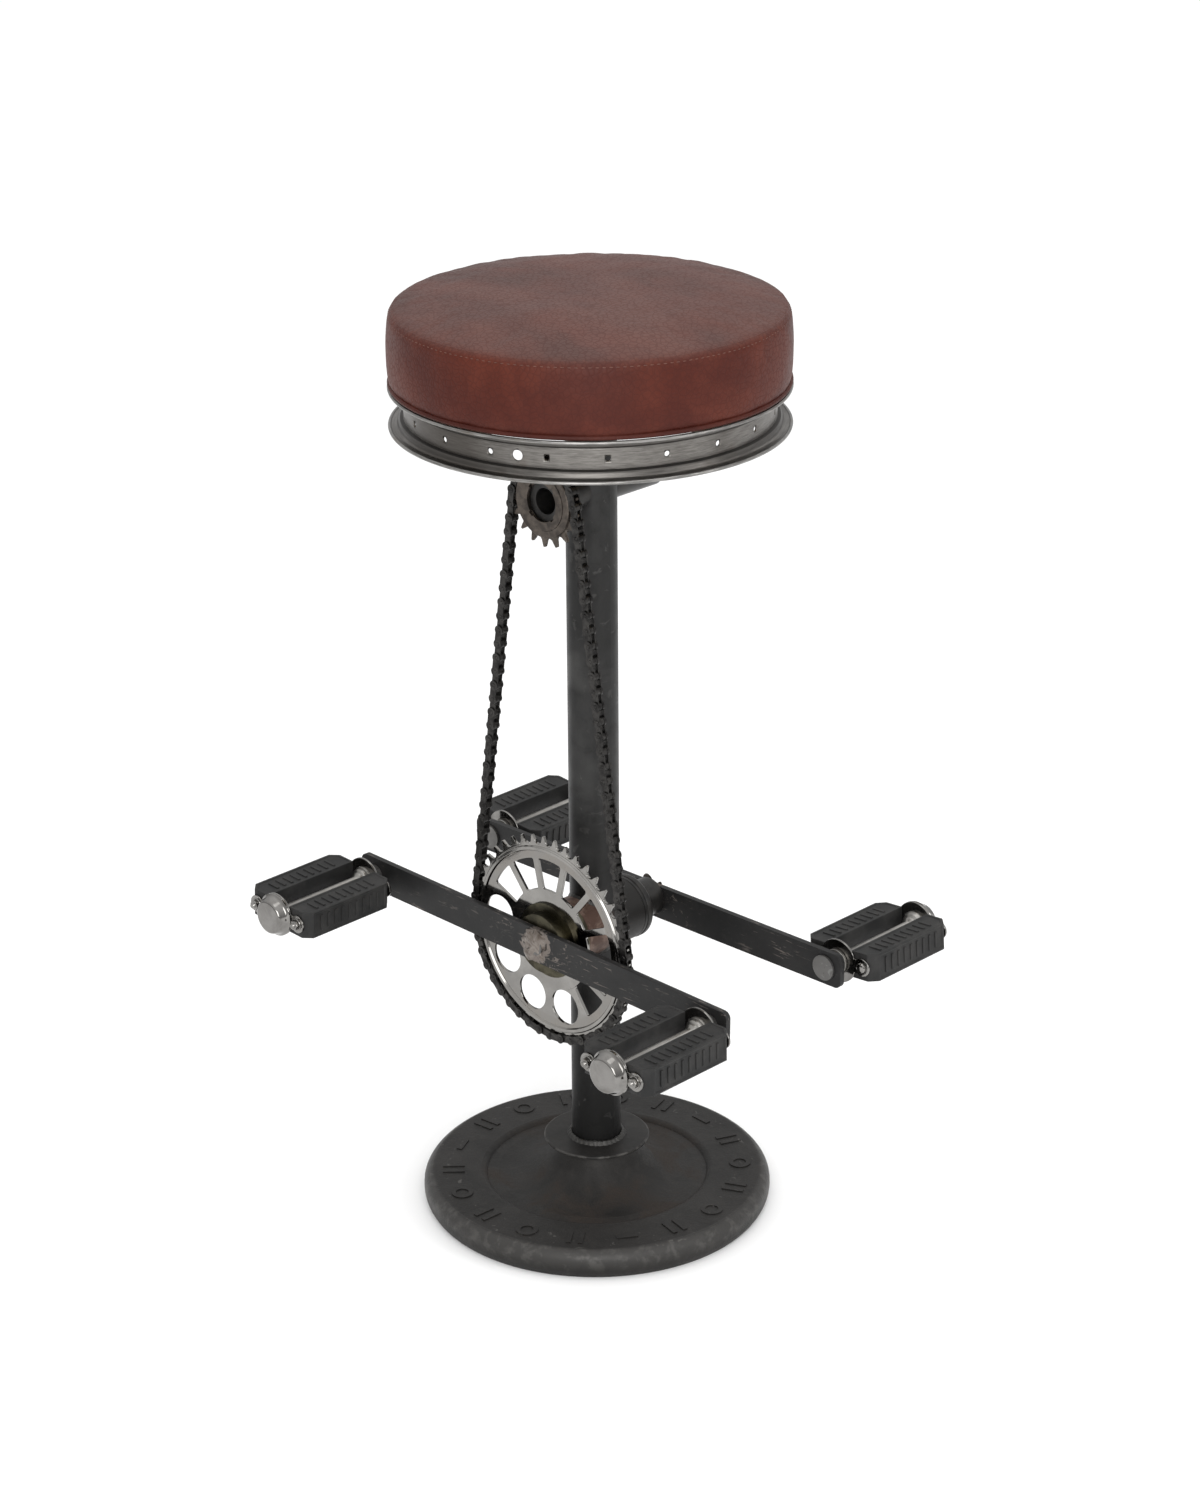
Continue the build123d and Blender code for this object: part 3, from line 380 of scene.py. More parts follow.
def bright_chrome():
    """Polished plating with faint hazing and a few pin pits."""
    f = Finish("bright_plating")
    haze = f.noise(55, 4, 0.6, warp=0.6)
    pit = f.cells(420).step(0.10, 0.06) * haze.step(0.5, 0.65)
    colour = f.mix(haze.step(0.35, 0.75), (0.235, 0.228, 0.218), (0.155, 0.149, 0.141))
    colour = f.mix(pit * 0.7, colour, (0.10, 0.07, 0.05))
    normal = f.bump(haze, 0.0002, 0.08)
    return f.surface(colour, 1.0, 0.05 + haze * 0.12 + pit * 0.2, normal)


def rubber():
    """Matt black moulded rubber, dusty with fine grey specks."""
    f = Finish("moulded_rubber")
    cloud = f.noise(45, 4, 0.6)
    fine = f.noise(900, 3, 0.6)
    colour = f.mix(cloud.step(0.35, 0.75), (0.010, 0.010, 0.010), (0.026, 0.025, 0.024))
    colour = f.mix(fine.step(0.6, 0.8) * 0.25, colour, (0.06, 0.058, 0.055))
    normal = f.bump(fine, 0.00018, 0.4, f.bump(cloud, 0.0008, 0.2))
    return f.surface(colour, 0.0, 0.52 + cloud * 0.16, normal, Specular_IOR_Level=0.28)


def shell_steel():
    """Bottom bracket shell: black towards the back, bare and rusty behind the chainring."""
    f = Finish("rusty_shell")
    patch = f.noise(70, 4, 0.62, warp=0.6)
    fine = f.noise(600, 3, 0.6)
    rusty = (f.y + patch * 0.02).step(0.012, -0.004)
    rust = f.mix(patch.step(0.38, 0.62), (0.060, 0.030, 0.020), (0.150, 0.100, 0.078))
    colour = f.mix(rusty, (0.012, 0.011, 0.010), rust)
    normal = f.bump(fine + patch, 0.0003, 0.4)
    return f.surface(colour, 0.55, 0.42 + patch * 0.15, normal)


PLY_RIPPLE = 2200             # one dark ply for each turn of a sine, about every 2.9 mm
PLY_EDGE = 0.1535


def plywood():
    """Birch ply: pale faces with long grain, and darker plies round the edge."""
    f = Finish("birch_ply")
    grain = f.noise(120, 4, 0.6, f.vector(f.x * 0.08, f.y, f.z))
    plies = (f.z * PLY_RIPPLE).math("SINE").step(-0.2, 0.2)
    colour = f.mix(grain.step(0.35, 0.7), (0.42, 0.29, 0.16), (0.60, 0.45, 0.28))
    edge = f.length(f.x, f.y).step(PLY_EDGE, PLY_EDGE + 0.001)
    colour = f.mix(edge * plies * 0.6, colour, (0.22, 0.13, 0.07))
    return f.surface(colour, 0.0, 0.6, f.bump(grain, 0.0002, 0.3))


def floor_paint():
    """Plain pale studio floor."""
    f = Finish("studio_floor")
    soft = f.noise(2.0, 2, 0.5)
    colour = f.mix(soft, (0.90, 0.90, 0.90), (0.92, 0.92, 0.92))
    return f.surface(colour, 0.0, 0.9)


FINISHES = {
    "dark_iron": cast_iron(),
    "bare_steel": bare_steel(),
    "rusty_steel": shell_steel(),
    "yellow_zinc": plain_metal("yellow_zinc", (0.032, 0.029, 0.020), (0.085, 0.077, 0.052), 0.24, 70),
    "bearing_steel": plain_metal("bearing_steel", (0.09, 0.087, 0.083), (0.24, 0.235, 0.225), 0.25),
    "black_steel": plain_metal("black_turned_steel", (0.012, 0.012, 0.012), (0.03, 0.028, 0.026), 0.30,
                               60, 0.6),
    "black_paint": bar_paint(),
    "dull_chrome": dull_chrome(),
    "dark_chain": plain_metal("dark_chain_steel", (0.015, 0.0142, 0.0138), (0.052, 0.0495, 0.047), 0.30,
                              160, 0.9),
    "brown_steel": plain_metal("brown_freewheel_steel", (0.038, 0.032, 0.028), (0.105, 0.088, 0.074),
                               0.34, 90, 0.85),
    "satin_tube": plain_metal("satin_tube", (0.20, 0.193, 0.180), (0.31, 0.300, 0.285), 0.28, 50),
    "bright_chrome": bright_chrome(),
    "black_rubber": rubber(),
    "brushed_rim": brushed_rim(),
    "plywood": plywood(),
    "red_brown_leather": leather(),
}


def dress(piece, finish):
    """Give a piece one finish and smooth shading."""
    piece.data.materials.clear()
    piece.data.materials.append(finish)
    for face in piece.data.polygons:
        face.use_smooth = True


def dress_nodes():
    """Give each CAD node the finish of its slot, then change the few that look different."""
    for entry in frame["record"]["subparts"]:
        node = NODES[entry["node"]]
        node.data.materials.clear()
        node.data.materials.append(FINISHES[entry["material_slot"]])
    NODES["hub_disc"].data.materials[0] = disc_iron()
    NODES["post"].data.materials[0] = post_steel()
    for name in ("back_spacer", "bb_lock_ring", "bb_cup_back"):
        NODES[name].data.materials[0] = FINISHES["black_steel"]
    NODES["chain_pins"].data.materials[0] = FINISHES["dark_chain"]


# ---- shaping ----
SHARP_ANGLE = math.radians(32)
DOUBLES = 1e-4                # points closer than this, in millimetres, are one point
AXLE_LAY = Matrix.Rotation(-math.pi / 2, 4, "X")     # turns a spun shape's axis from Z to Y
BEVEL = {"profile": 0.5, "affect": "EDGES", "material": -1}


def finished(name, shape, finish, body, nodes=()):
    """Turn a bmesh, drawn in millimetres, into a piece that rides on a body."""
    bmesh.ops.remove_doubles(shape, verts=shape.verts, dist=DOUBLES)
    bmesh.ops.recalc_face_normals(shape, faces=shape.faces)
    for edge in shape.edges:
        edge.smooth = not edge.is_manifold or edge.calc_face_angle(0) < SHARP_ANGLE
    for face in shape.faces:
        face.smooth = True
    bmesh.ops.scale(shape, vec=(MM, MM, MM), verts=shape.verts)
    mesh = bpy.data.meshes.new(name)
    shape.to_mesh(mesh)
    shape.free()
    piece = bpy.data.objects.new(name, mesh)
    bpy.context.collection.objects.link(piece)
    mesh.materials.append(finish)
    return join_body(piece, body, nodes)


def join_body(piece, body, nodes=()):
    """Let a piece ride on a body and the CAD nodes that it stands in for."""
    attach(piece, body)
    if nodes:
        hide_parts(*nodes)
    return piece


def spun(shape, profile, steps, closed=True, lay=Matrix()):
    """Spin a (radius, height) profile round Z, then lay the result in place."""
    points = [shape.verts.new((radius, 0, height)) for radius, height in profile]
    pairs = list(zip(points, points[1:]))
    if closed:
        pairs.append((points[-1], points[0]))
    edges = [shape.edges.new(pair) for pair in pairs if pair[0].co != pair[1].co]
    known = set(shape.verts) - set(points)
    bmesh.ops.spin(shape, geom=points + edges, cent=(0, 0, 0), axis=(0, 0, 1), angle=TURN,
                   steps=steps, use_merge=True)
    made = [vert for vert in shape.verts if vert not in known]
    bmesh.ops.transform(shape, matrix=lay, verts=made)
    return made


def oval(radius, height, wide, tall, steps):
    """A small oval section for spun, as (radius, height) points."""
    return [(radius + wide * math.cos(TURN * step / steps), height + tall * math.sin(TURN * step / steps))
            for step in range(steps)]


def settled(piece):
    """Apply a piece's modifiers to its mesh."""
    ready = piece.evaluated_get(bpy.context.evaluated_depsgraph_get())
    mesh = bpy.data.meshes.new_from_object(ready)
    piece.modifiers.clear()
    piece.data = mesh
    return piece


def cut(piece, cutter_shape):
    """Cut a bmesh, drawn in metres, out of a piece."""
    mesh = bpy.data.meshes.new("cutter")
    cutter_shape.to_mesh(mesh)
    cutter_shape.free()
    cutter = bpy.data.objects.new("cutter", mesh)
    bpy.context.collection.objects.link(cutter)
    knife = piece.modifiers.new("cut", "BOOLEAN")
    knife.operation = "DIFFERENCE"
    knife.solver = "EXACT"
    knife.object = cutter
    settled(piece)
    bpy.data.objects.remove(cutter)


# ---- seat: in metres, apart from the points of outlines, which are in millimetres ----
VOXEL = 0.005
PAD_PRESSURE = 4.0
PAD_STIFFNESS = 25.0
PAD_STEPS = 20
PAD_CAP = 0.006               # the most that a point of the pad may move
SEAM_Z = 0.8005
SEAM_RADIUS = 0.158
SEAM_HOLD, SEAM_REACH = 0.85, 0.004     # how firmly the seam is held, and how far round it
HELD_HEIGHT = 0.004           # the pad is pinned up to this height over its foot
# Each wave of the settled filling: how many there are to about a metre, and how high it stands.
HOLLOW, RIPPLE, SIDE_WAVE = (13.0, 0.0016), (31.0, 0.0007), (22.0, 0.0008)
CREASE_ACROSS, CREASE_ALONG, CREASE_HEIGHT = 55.0, 14.0, 0.0006
TOP_FADE = 0.006              # height over the seam at which the top's waves are full
BOARD_GAP = 0.0003
RECESS_TALL = 0.04
WELT_RADIUS, WELT_INSET, WELT_POINTS = 0.0011, 0.0008, 240
STITCHES, STITCH_DROP = 190, 0.0042
STITCH_HALVES = (1.7, 0.42, 0.42)       # half length, height and width of a stitch, in millimetres
HEM_RADIUS, HEM_RISE, HEM_WIDE, HEM_TALL = 159.9, 2.1, 2.3, 2.05     # in millimetres


def pad_start():
    """The pad before it is blown up: a little smaller than its cover."""
    low, high, seam = CUSHION_FOOT / MM, CUSHION_TOP / MM, SEAM_Z / MM
    shape = bmesh.new()
    spun(shape, [(0, low), (158.6, low), (161.0, low + 3), (162.2, low + 18), (162.4, low + 36),
                 (160.6, seam - 5), (158.2, seam), (152.0, seam + 4.2), (128.0, seam + 8.4),
                 (80.0, seam + 10.6), (0, high - 4.0)], 96, closed=False)
    return shape


def hold_seams(pad):
    """Pin the bottom edge, and hold the sewn top edge firmly."""
    group = pad.vertex_groups.new(name="held")
    for vert in pad.data.vertices:
        radius = math.hypot(vert.co.x, vert.co.y)
        from_seam = math.hypot(radius - SEAM_RADIUS, vert.co.z - SEAM_Z)
        at_foot = 1.0 if vert.co.z < CUSHION_FOOT + HELD_HEIGHT else 0.0
        at_seam = SEAM_HOLD * math.exp(-(from_seam / SEAM_REACH) ** 2)
        group.add([vert.index], max(at_foot, at_seam), "REPLACE")
    return group.name


def blow_up(pad):
    """Fill the pad with cloth pressure, capping how far a point may move."""
    start = [vert.co.copy() for vert in pad.data.vertices]
    cloth = pad.modifiers.new("cloth", "CLOTH")
    cloth.settings.vertex_group_mass = hold_seams(pad)
    cloth.settings.use_pressure = True
    cloth.settings.uniform_pressure_force = PAD_PRESSURE
    cloth.settings.effector_weights.gravity = 0.0
    cloth.settings.tension_stiffness = PAD_STIFFNESS
    cloth.settings.compression_stiffness = PAD_STIFFNESS
    cloth.point_cache.frame_end = PAD_STEPS
    scene = bpy.context.scene
    for step in range(1, PAD_STEPS + 1):
        scene.frame_set(step)
    ready = pad.evaluated_get(bpy.context.evaluated_depsgraph_get())
    moved = [vert.co.copy() for vert in ready.data.vertices]
    pad.modifiers.remove(cloth)
    scene.frame_set(1)
    for vert, before, after in zip(pad.data.vertices, start, moved):
        move = after - before
        if move.length > PAD_CAP:
            move = move.normalized() * PAD_CAP
        vert.co = before + move


def wave(place, scale, height):
    return noise.noise(place * scale) * height


def crease_pad(pad):
    """Shallow hollows and creases where the filling has settled."""
    for vert in pad.data.vertices:
        place = vert.co
        top = min(max((place.z - SEAM_Z) / TOP_FADE, 0.0), 1.0)
        soft = wave(place, *HOLLOW) + wave(place, *RIPPLE)
        crease = noise.noise(Vector((place.x * CREASE_ACROSS, place.y * CREASE_ALONG, 3.0)))
        vert.co.z += top * (soft + crease * CREASE_HEIGHT)
        outward = Vector((place.x, place.y, 0)).normalized()
        vert.co += outward * (1 - top) * wave(place, *SIDE_WAVE)


def build_pad():
    """The cushion: one stuffed leather cover, hollow below where the seat board sits in it."""
    pad = finished("leather_pad", pad_start(), FINISHES["red_brown_leather"], "frame",
                   ["cushion"])
    voxels = pad.modifiers.new("voxels", "REMESH")
    voxels.mode = "VOXEL"
    voxels.voxel_size = VOXEL
    settled(pad)
    blow_up(pad)
    crease_pad(pad)
    pad.vertex_groups.clear()
    smooth = pad.modifiers.new("smooth", "SUBSURF")
    smooth.levels = smooth.render_levels = 1
    settled(pad)
    recess = bmesh.new()
    radius = BOARD_RADIUS + BOARD_GAP
    lay = Matrix.Translation((0, 0, BOARD_TOP + BOARD_GAP - RECESS_TALL / 2))
    bmesh.ops.create_cone(recess, segments=96, radius1=radius, radius2=radius, depth=RECESS_TALL,
                          cap_ends=True, matrix=lay)
    cut(pad, recess)
    dress(pad, FINISHES["red_brown_leather"])
    return pad


def surface_ring(piece, height, count, inset=0.0):
    """Points round a piece at one height, found from outside, with their outward normals."""
    tree = BVHTree.FromObject(piece, bpy.context.evaluated_depsgraph_get())
    ring = []
    for index in range(count):
        out = Vector((math.cos(TURN * index / count), math.sin(TURN * index / count), 0))
        spot, normal, _, _ = tree.ray_cast(out * 0.4 + Vector((0, 0, height)), -out)
        ring.append((spot - normal * inset, normal))
    return ring


def build_welt(pad):
    """A fine welt where the side panel is sewn to the top."""
    curve = bpy.data.curves.new("seam_welt", "CURVE")
    curve.dimensions = "3D"
    ring = surface_ring(pad, SEAM_Z, WELT_POINTS, WELT_INSET)
    spline = curve.splines.new("NURBS")
    spline.points.add(len(ring) - 1)
    for point, (spot, _) in zip(spline.points, ring):
        point.co = (*spot, 1.0)
    spline.use_cyclic_u = True
    curve.bevel_depth = WELT_RADIUS
    curve.bevel_resolution = 3
    maker = bpy.data.objects.new("seam_maker", curve)
    bpy.context.collection.objects.link(maker)
    ready = maker.evaluated_get(bpy.context.evaluated_depsgraph_get())
    mesh = bpy.data.meshes.new_from_object(ready)
    bpy.data.objects.remove(maker)
    welt = bpy.data.objects.new("seam_welt", mesh)
    bpy.context.collection.objects.link(welt)
    dress(welt, FINISHES["red_brown_leather"])
    join_body(welt, "frame")


def build_stitches(pad):
    """A row of stitches round the side panel, just below the welt."""
    shape = bmesh.new()
    for spot, normal in surface_ring(pad, SEAM_Z - STITCH_DROP, STITCHES):
        side = Vector((-normal.y, normal.x, 0)).normalized()
        turn = Matrix((side, normal, side.cross(normal))).transposed().to_4x4()
        place = Matrix.Translation(spot / MM) @ turn @ Matrix.Diagonal((*STITCH_HALVES, 1))
        bmesh.ops.create_icosphere(shape, subdivisions=1, radius=1.0, matrix=place)
    thread = plain_metal("waxed_thread", (0.070, 0.022, 0.013), (0.115, 0.040, 0.025), 0.55, 90, 0.0)
    finished("seam_stitches", shape, thread, "frame")


def build_hem():
    """The leather's folded edge, turned in under the pad and resting over the rim's lip."""
    shape = bmesh.new()
    spun(shape, oval(HEM_RADIUS, CUSHION_FOOT / MM + HEM_RISE, HEM_WIDE, HEM_TALL, 16), 160)
    finished("seat_hem", shape, FINISHES["red_brown_leather"], "frame")


# ---- rim: in millimetres and degrees ----
RIM_WALL = 1.4
LIP_RADIUS, LIP_HEIGHT, LIP_BEAD = 160.9, 16.0, 1.5
SPOKE_HOLES, SPOKE_HOLE_RADIUS, FIRST_SPOKE = 20, 2.3, -4.5
VALVE_HOLE_RADIUS, VALVE_ANGLE = 4.3, -67.5
DRILL_PLACE, DRILL_LENGTH = 0.1495, 0.012     # in metres: out from the post, and through the wall


def rim_half():
    """Outer face of half the rim section, as (radius, height over its middle)."""
    return [(149.2, 0.0), (149.2, 7.4), (148.9, 8.3), (149.3, 9.0), (150.8, 9.3), (152.4, 10.0),
            (153.2, 11.3), (153.5, 12.8), (154.2, 14.4), (156.0, 15.5), (158.4, 15.9), (160.6, 15.9)]


def build_rim():
    """The rim's hoop with its spoke and valve holes, and the two rolled lips."""
    middle = RIM_MIDDLE / MM
    upper = rim_half()
    lower = [(radius, -height) for radius, height in reversed(upper[1:])]
    shape = bmesh.new()
    spun(shape, [(radius, height + middle) for radius, height in lower + upper], 160, closed=False)
    rim = finished("rim_hoop", shape, FINISHES["brushed_rim"], "frame", ["rim"])
    wall = rim.modifiers.new("wall", "SOLIDIFY")
    wall.thickness = RIM_WALL * MM
    wall.offset = 0.0
    wall.use_even_offset = True
    round_off = rim.modifiers.new("round", "SUBSURF")
    round_off.levels = round_off.render_levels = 1
    settled(rim)
    drill_rim(rim)
    dress(rim, FINISHES["brushed_rim"])
    lips = bmesh.new()
    for side in (-1, 1):
        spun(lips, oval(LIP_RADIUS, middle + side * LIP_HEIGHT, LIP_BEAD, LIP_BEAD, 12), 160)
    finished("rim_rolled_lips", lips, rim_lip_steel(), "frame")


def drill_rim(rim):
    """Drill the spoke holes and the wider valve hole through the rim's wall."""
    drills = bmesh.new()
    holes = [(FIRST_SPOKE + 360 / SPOKE_HOLES * index, SPOKE_HOLE_RADIUS) for index in range(SPOKE_HOLES)]
    for angle, radius in [*holes, (VALVE_ANGLE, VALVE_HOLE_RADIUS)]:
        round_rim = Matrix.Rotation(math.radians(angle), 4, "Z")
        lay = round_rim @ Matrix.Translation((DRILL_PLACE, 0, RIM_MIDDLE))
        bmesh.ops.create_cone(drills, segments=24, radius1=radius * MM, radius2=radius * MM,
                              depth=DRILL_LENGTH, cap_ends=True,
                              matrix=lay @ Matrix.Rotation(math.pi / 2, 4, "Y"))
    cut(rim, drills)


def rim_lip_steel():
    """The rolled lips, coloured brighter than the wall as a painted highlight, with stains."""
    f = Finish("lip_steel_painted_highlight")
    place, _ = around(f, 0.02)
    strokes = f.noise(700, 4, 0.6, place)
    stain = f.noise(30, 4, 0.6)
    # painted highlight: the lips' colour is lighter than the wall's
    colour = f.mix(strokes.step(0.35, 0.7), (0.16, 0.155, 0.148), (0.30, 0.292, 0.280))
    colour = f.mix(stain.step(0.55, 0.72) * 0.45, colour, (0.16, 0.13, 0.10))
    return f.surface(colour, 0.95, 0.24 + strokes * 0.15, f.bump(strokes, 0.0001, 0.4))


# ---- welds: in millimetres ----
BEAD_WOBBLE = 0.25            # how much a bead swells and shrinks along its run
STEPS_IN_A_RIPPLE = 6
FOOT_BEAD_WIDTH, FOOT_BEAD_HEIGHT, FOOT_BEAD_RIPPLES = 4.0, 3.0, 34
SHELL_BEAD = 2.6              # radius of the bead between the post and the bottom bracket shell
PATCH_RADIUS, PATCH_HEIGHT = 13.2, 2.3


def ground_steel():
    """Weld metal ground by hand: grey-brown, streaked, with dark pits."""
    f = Finish("ground_weld_steel")
    patch = f.noise(110, 4, 0.65, warp=0.8)
    streaks = f.noise(260, 3, 0.6, f.vector(f.x * 0.2, f.y, f.z + f.x * 0.5), 0.5)
    pit = f.noise(190, 2, 0.5, warp=0.6).step(0.60, 0.66)
    colour = f.mix(patch.step(0.32, 0.68), (0.095, 0.076, 0.063), (0.240, 0.212, 0.190))
    colour = f.mix(streaks.step(0.5, 0.7) * 0.4, colour, (0.31, 0.29, 0.27))
    colour = f.mix(pit * 0.8, colour, (0.020, 0.017, 0.015))
    normal = f.bump(streaks - pit, 0.0004, 0.5, f.bump(patch, 0.0008, 0.4))
    return f.surface(colour, 0.8, 0.34 + patch * 0.2, normal)


def weld_ring(shape, radius, width, height, ripples, lay):
    """A rippled weld bead round Z: a half-round ring, pushed about like frozen ripples."""
    profile = [(radius - width * 0.5, 0), (radius - width * 0.42, height * 0.55),
               (radius - width * 0.12, height), (radius + width * 0.25, height * 0.85),
               (radius + width * 0.55, height * 0.35), (radius + width * 0.75, 0)]
    made = spun(shape, profile, ripples * STEPS_IN_A_RIPPLE)
    for vert in made:
        angle = math.atan2(vert.co.y, vert.co.x)
        ripple = abs(math.sin(angle * ripples / 2 + vert.co.z * 0.25))
        lump = noise.noise(Vector((vert.co.x, vert.co.y, radius)) * 0.16)
        grow = 1 + BEAD_WOBBLE * (ripple - 0.5) + lump * BEAD_WOBBLE
        flat = Vector((vert.co.x, vert.co.y, 0)).normalized()
        out = (math.hypot(vert.co.x, vert.co.y) - radius) * grow
        vert.co = Vector((flat.x * (radius + out), flat.y * (radius + out), vert.co.z * grow))
    bmesh.ops.transform(shape, matrix=lay, verts=made)


def ground_patch(shape, radius, height, lay):
    """A weld ground nearly flat over the end of the axle, with an uneven edge."""
    made = spun(shape, [(0, height), (radius * 0.45, height * 0.96), (radius * 0.75, height * 0.7),
                        (radius * 0.92, height * 0.35), (radius, 0), (0, 0)], 60)
    for vert in made:
        lump = noise.noise(Vector((vert.co.x, vert.co.y, 4)) * 0.13)
        pit = noise.noise(Vector((vert.co.x, vert.co.y, 9)) * 0.45)
        reach = 1 + 0.62 * lump
        rise = 1 + 0.25 * lump + 0.22 * pit
        vert.co = Vector((vert.co.x * reach, vert.co.y * reach, vert.co.z * rise))
    bmesh.ops.transform(shape, matrix=lay, verts=made)


def shell_beads(shape, post, shell):
    """Beads where the post meets the bottom bracket shell, above and below, draped over the shell."""
    for side in (-1, 1):
        for vert in spun(shape, oval(post - 1.5, 0, SHELL_BEAD, SHELL_BEAD, 8), 96):
            angle = math.atan2(vert.co.y, vert.co.x)
            ripple = 1 + 0.25 * abs(math.sin(angle * 14)) + 0.3 * noise.noise(vert.co * 0.12)
            centre = Vector((math.cos(angle), math.sin(angle), 0)) * (post - 0.6)
            vert.co = centre + (vert.co - centre) * ripple
            drop = math.sqrt(max(shell ** 2 - vert.co.x ** 2, 0.0))
            vert.co.z = CRANK[2] / MM + side * (drop + vert.co.z * 0.9)


def build_welds():
    """The bead at the post's foot, the ground patches on both bars, and the beads on the shell."""
    bead = bare_steel("weld_bead_steel", 0.075)
    post = POST_RADIUS / MM
    foot = bmesh.new()
    weld_ring(foot, post + 1.2, FOOT_BEAD_WIDTH, FOOT_BEAD_HEIGHT, FOOT_BEAD_RIPPLES,
              Matrix.Translation((0, 0, DISC_TOP / MM)))
    finished("foot_weld_bead", foot, bead, "frame", ["foot_weld"])
    patches = bmesh.new()
    for face, out in ((FRONT_FACE, 1), (BACK_FACE, -1)):
        place = Matrix.Translation(Vector((CRANK[0], face, CRANK[2])) / MM)
        ground_patch(patches, PATCH_RADIUS, PATCH_HEIGHT, place @ Matrix.Rotation(out * math.pi / 2, 4, "X"))
    finished("bar_weld_patches", patches, ground_steel(), "crank", ["crank_welds"])
    shell = bmesh.new()
    shell_beads(shell, post, SHELL_RADIUS / MM)
    finished("shell_weld_beads", shell, bead, "frame")


# ---- pedals ----
# All in millimetres, with Y measured out from the bar, and tilts in degrees.
TILTS = {"front_right": 1.0, "front_left": -3.0, "back_right": 4.0, "back_left": -5.0}
PLATE_IN, PLATE_OUT = 12.0, 114.0        # inner and outer face of the pedal's cage
BLOCK_IN, BLOCK_OUT = 14.0, 112.0        # ends of the rubber treads
TREAD_OUT = 25.5                         # from the spindle to each tread's middle and its bolt
BLOCK_WIDE, BLOCK_TALL = 24.0, 24.0
BLOCK_CORNER, BLOCK_ROUND = 7.0, 0.55
TREAD_SHARP = math.radians(30)           # the treads' edges that turn more than this are rounded
PANEL_FRAME, PANEL_SLOPE, PANEL_DEPTH = 2.6, 0.5, 0.9
RIBS, RIB_START, RIB_PITCH = 9, 17.0, 8.0
RIB_THICK, RIB_TALL = 2.6, 1.1
FACE_RIB, SIDE_RIB = 12.5, 14.0          # how long a rib is on a flat face and on the outer side
BOLT_RADIUS, NUT_RADIUS, NUT_HEIGHT = 2.5, 4.6, 3.0
THREAD_PITCH = 0.7


def pedal_lay(name):
    """Matrix from a pedal's own millimetres to the stool's, spindle along Y from the bar."""
    hinge = Vector(JOINTS[f"pedal_{name}_spin"]["pos_m"]) / MM
    front = name.startswith("front")
    face = (FRONT_FACE if front else BACK_FACE) / MM
    turn = Matrix.Rotation(math.radians(-TILTS[name]), 4, "Y")
    if front:
        turn = turn @ Matrix.Rotation(math.pi, 4, "Z")
    return Matrix.Translation((hinge[0], face, hinge[2])) @ turn


def cap_shape():
    """Conical dust cap with a rolled foot and a slightly dished face."""
    y = PLATE_OUT
    shape = bmesh.new()
    spun(shape, [(11.2, y), (18.6, y), (19.0, y + 0.5), (18.9, y + 1.3), (18.1, y + 1.9),
                 (17.2, y + 2.4), (16.6, y + 3.4), (14.9, y + 8.2), (14.4, y + 9.2), (13.5, y + 9.8),
                 (12.3, y + 10.0), (9.0, y + 9.8), (4.0, y + 9.55), (0, y + 9.5), (0, y + 8.2),
                 (12.2, y + 8.5), (15.4, y + 2.6), (11.2, y + 2.4)], 72, lay=AXLE_LAY)
    return shape


def barrel_shape():
    """Thin tube between two stepped bearing cups."""
    a, b = PLATE_IN, PLATE_OUT
    shape = bmesh.new()
    spun(shape, [(8.1, a - 3), (10.6, a - 3), (11.0, a - 2.6), (11.0, a + 3.0), (10.7, a + 3.5),
                 (9.9, a + 3.8), (9.7, a + 6.2), (9.2, a + 7.0), (7.6, a + 8.0), (7.2, a + 9.8),
                 (5.4, a + 11.4), (4.8, a + 12.4), (4.8, b - 12.4), (5.4, b - 11.4), (7.2, b - 9.8),
                 (7.6, b - 8.0), (9.7, b - 6.6), (10.7, b - 3.6), (11.0, b - 3.0), (11.0, b + 2.3),
                 (8.1, b + 2.3), (8.1, b - 5.5), (3.9, b - 9.0), (3.9, a + 9.0), (8.1, a + 5.5)],
         56, lay=AXLE_LAY)
    return shape


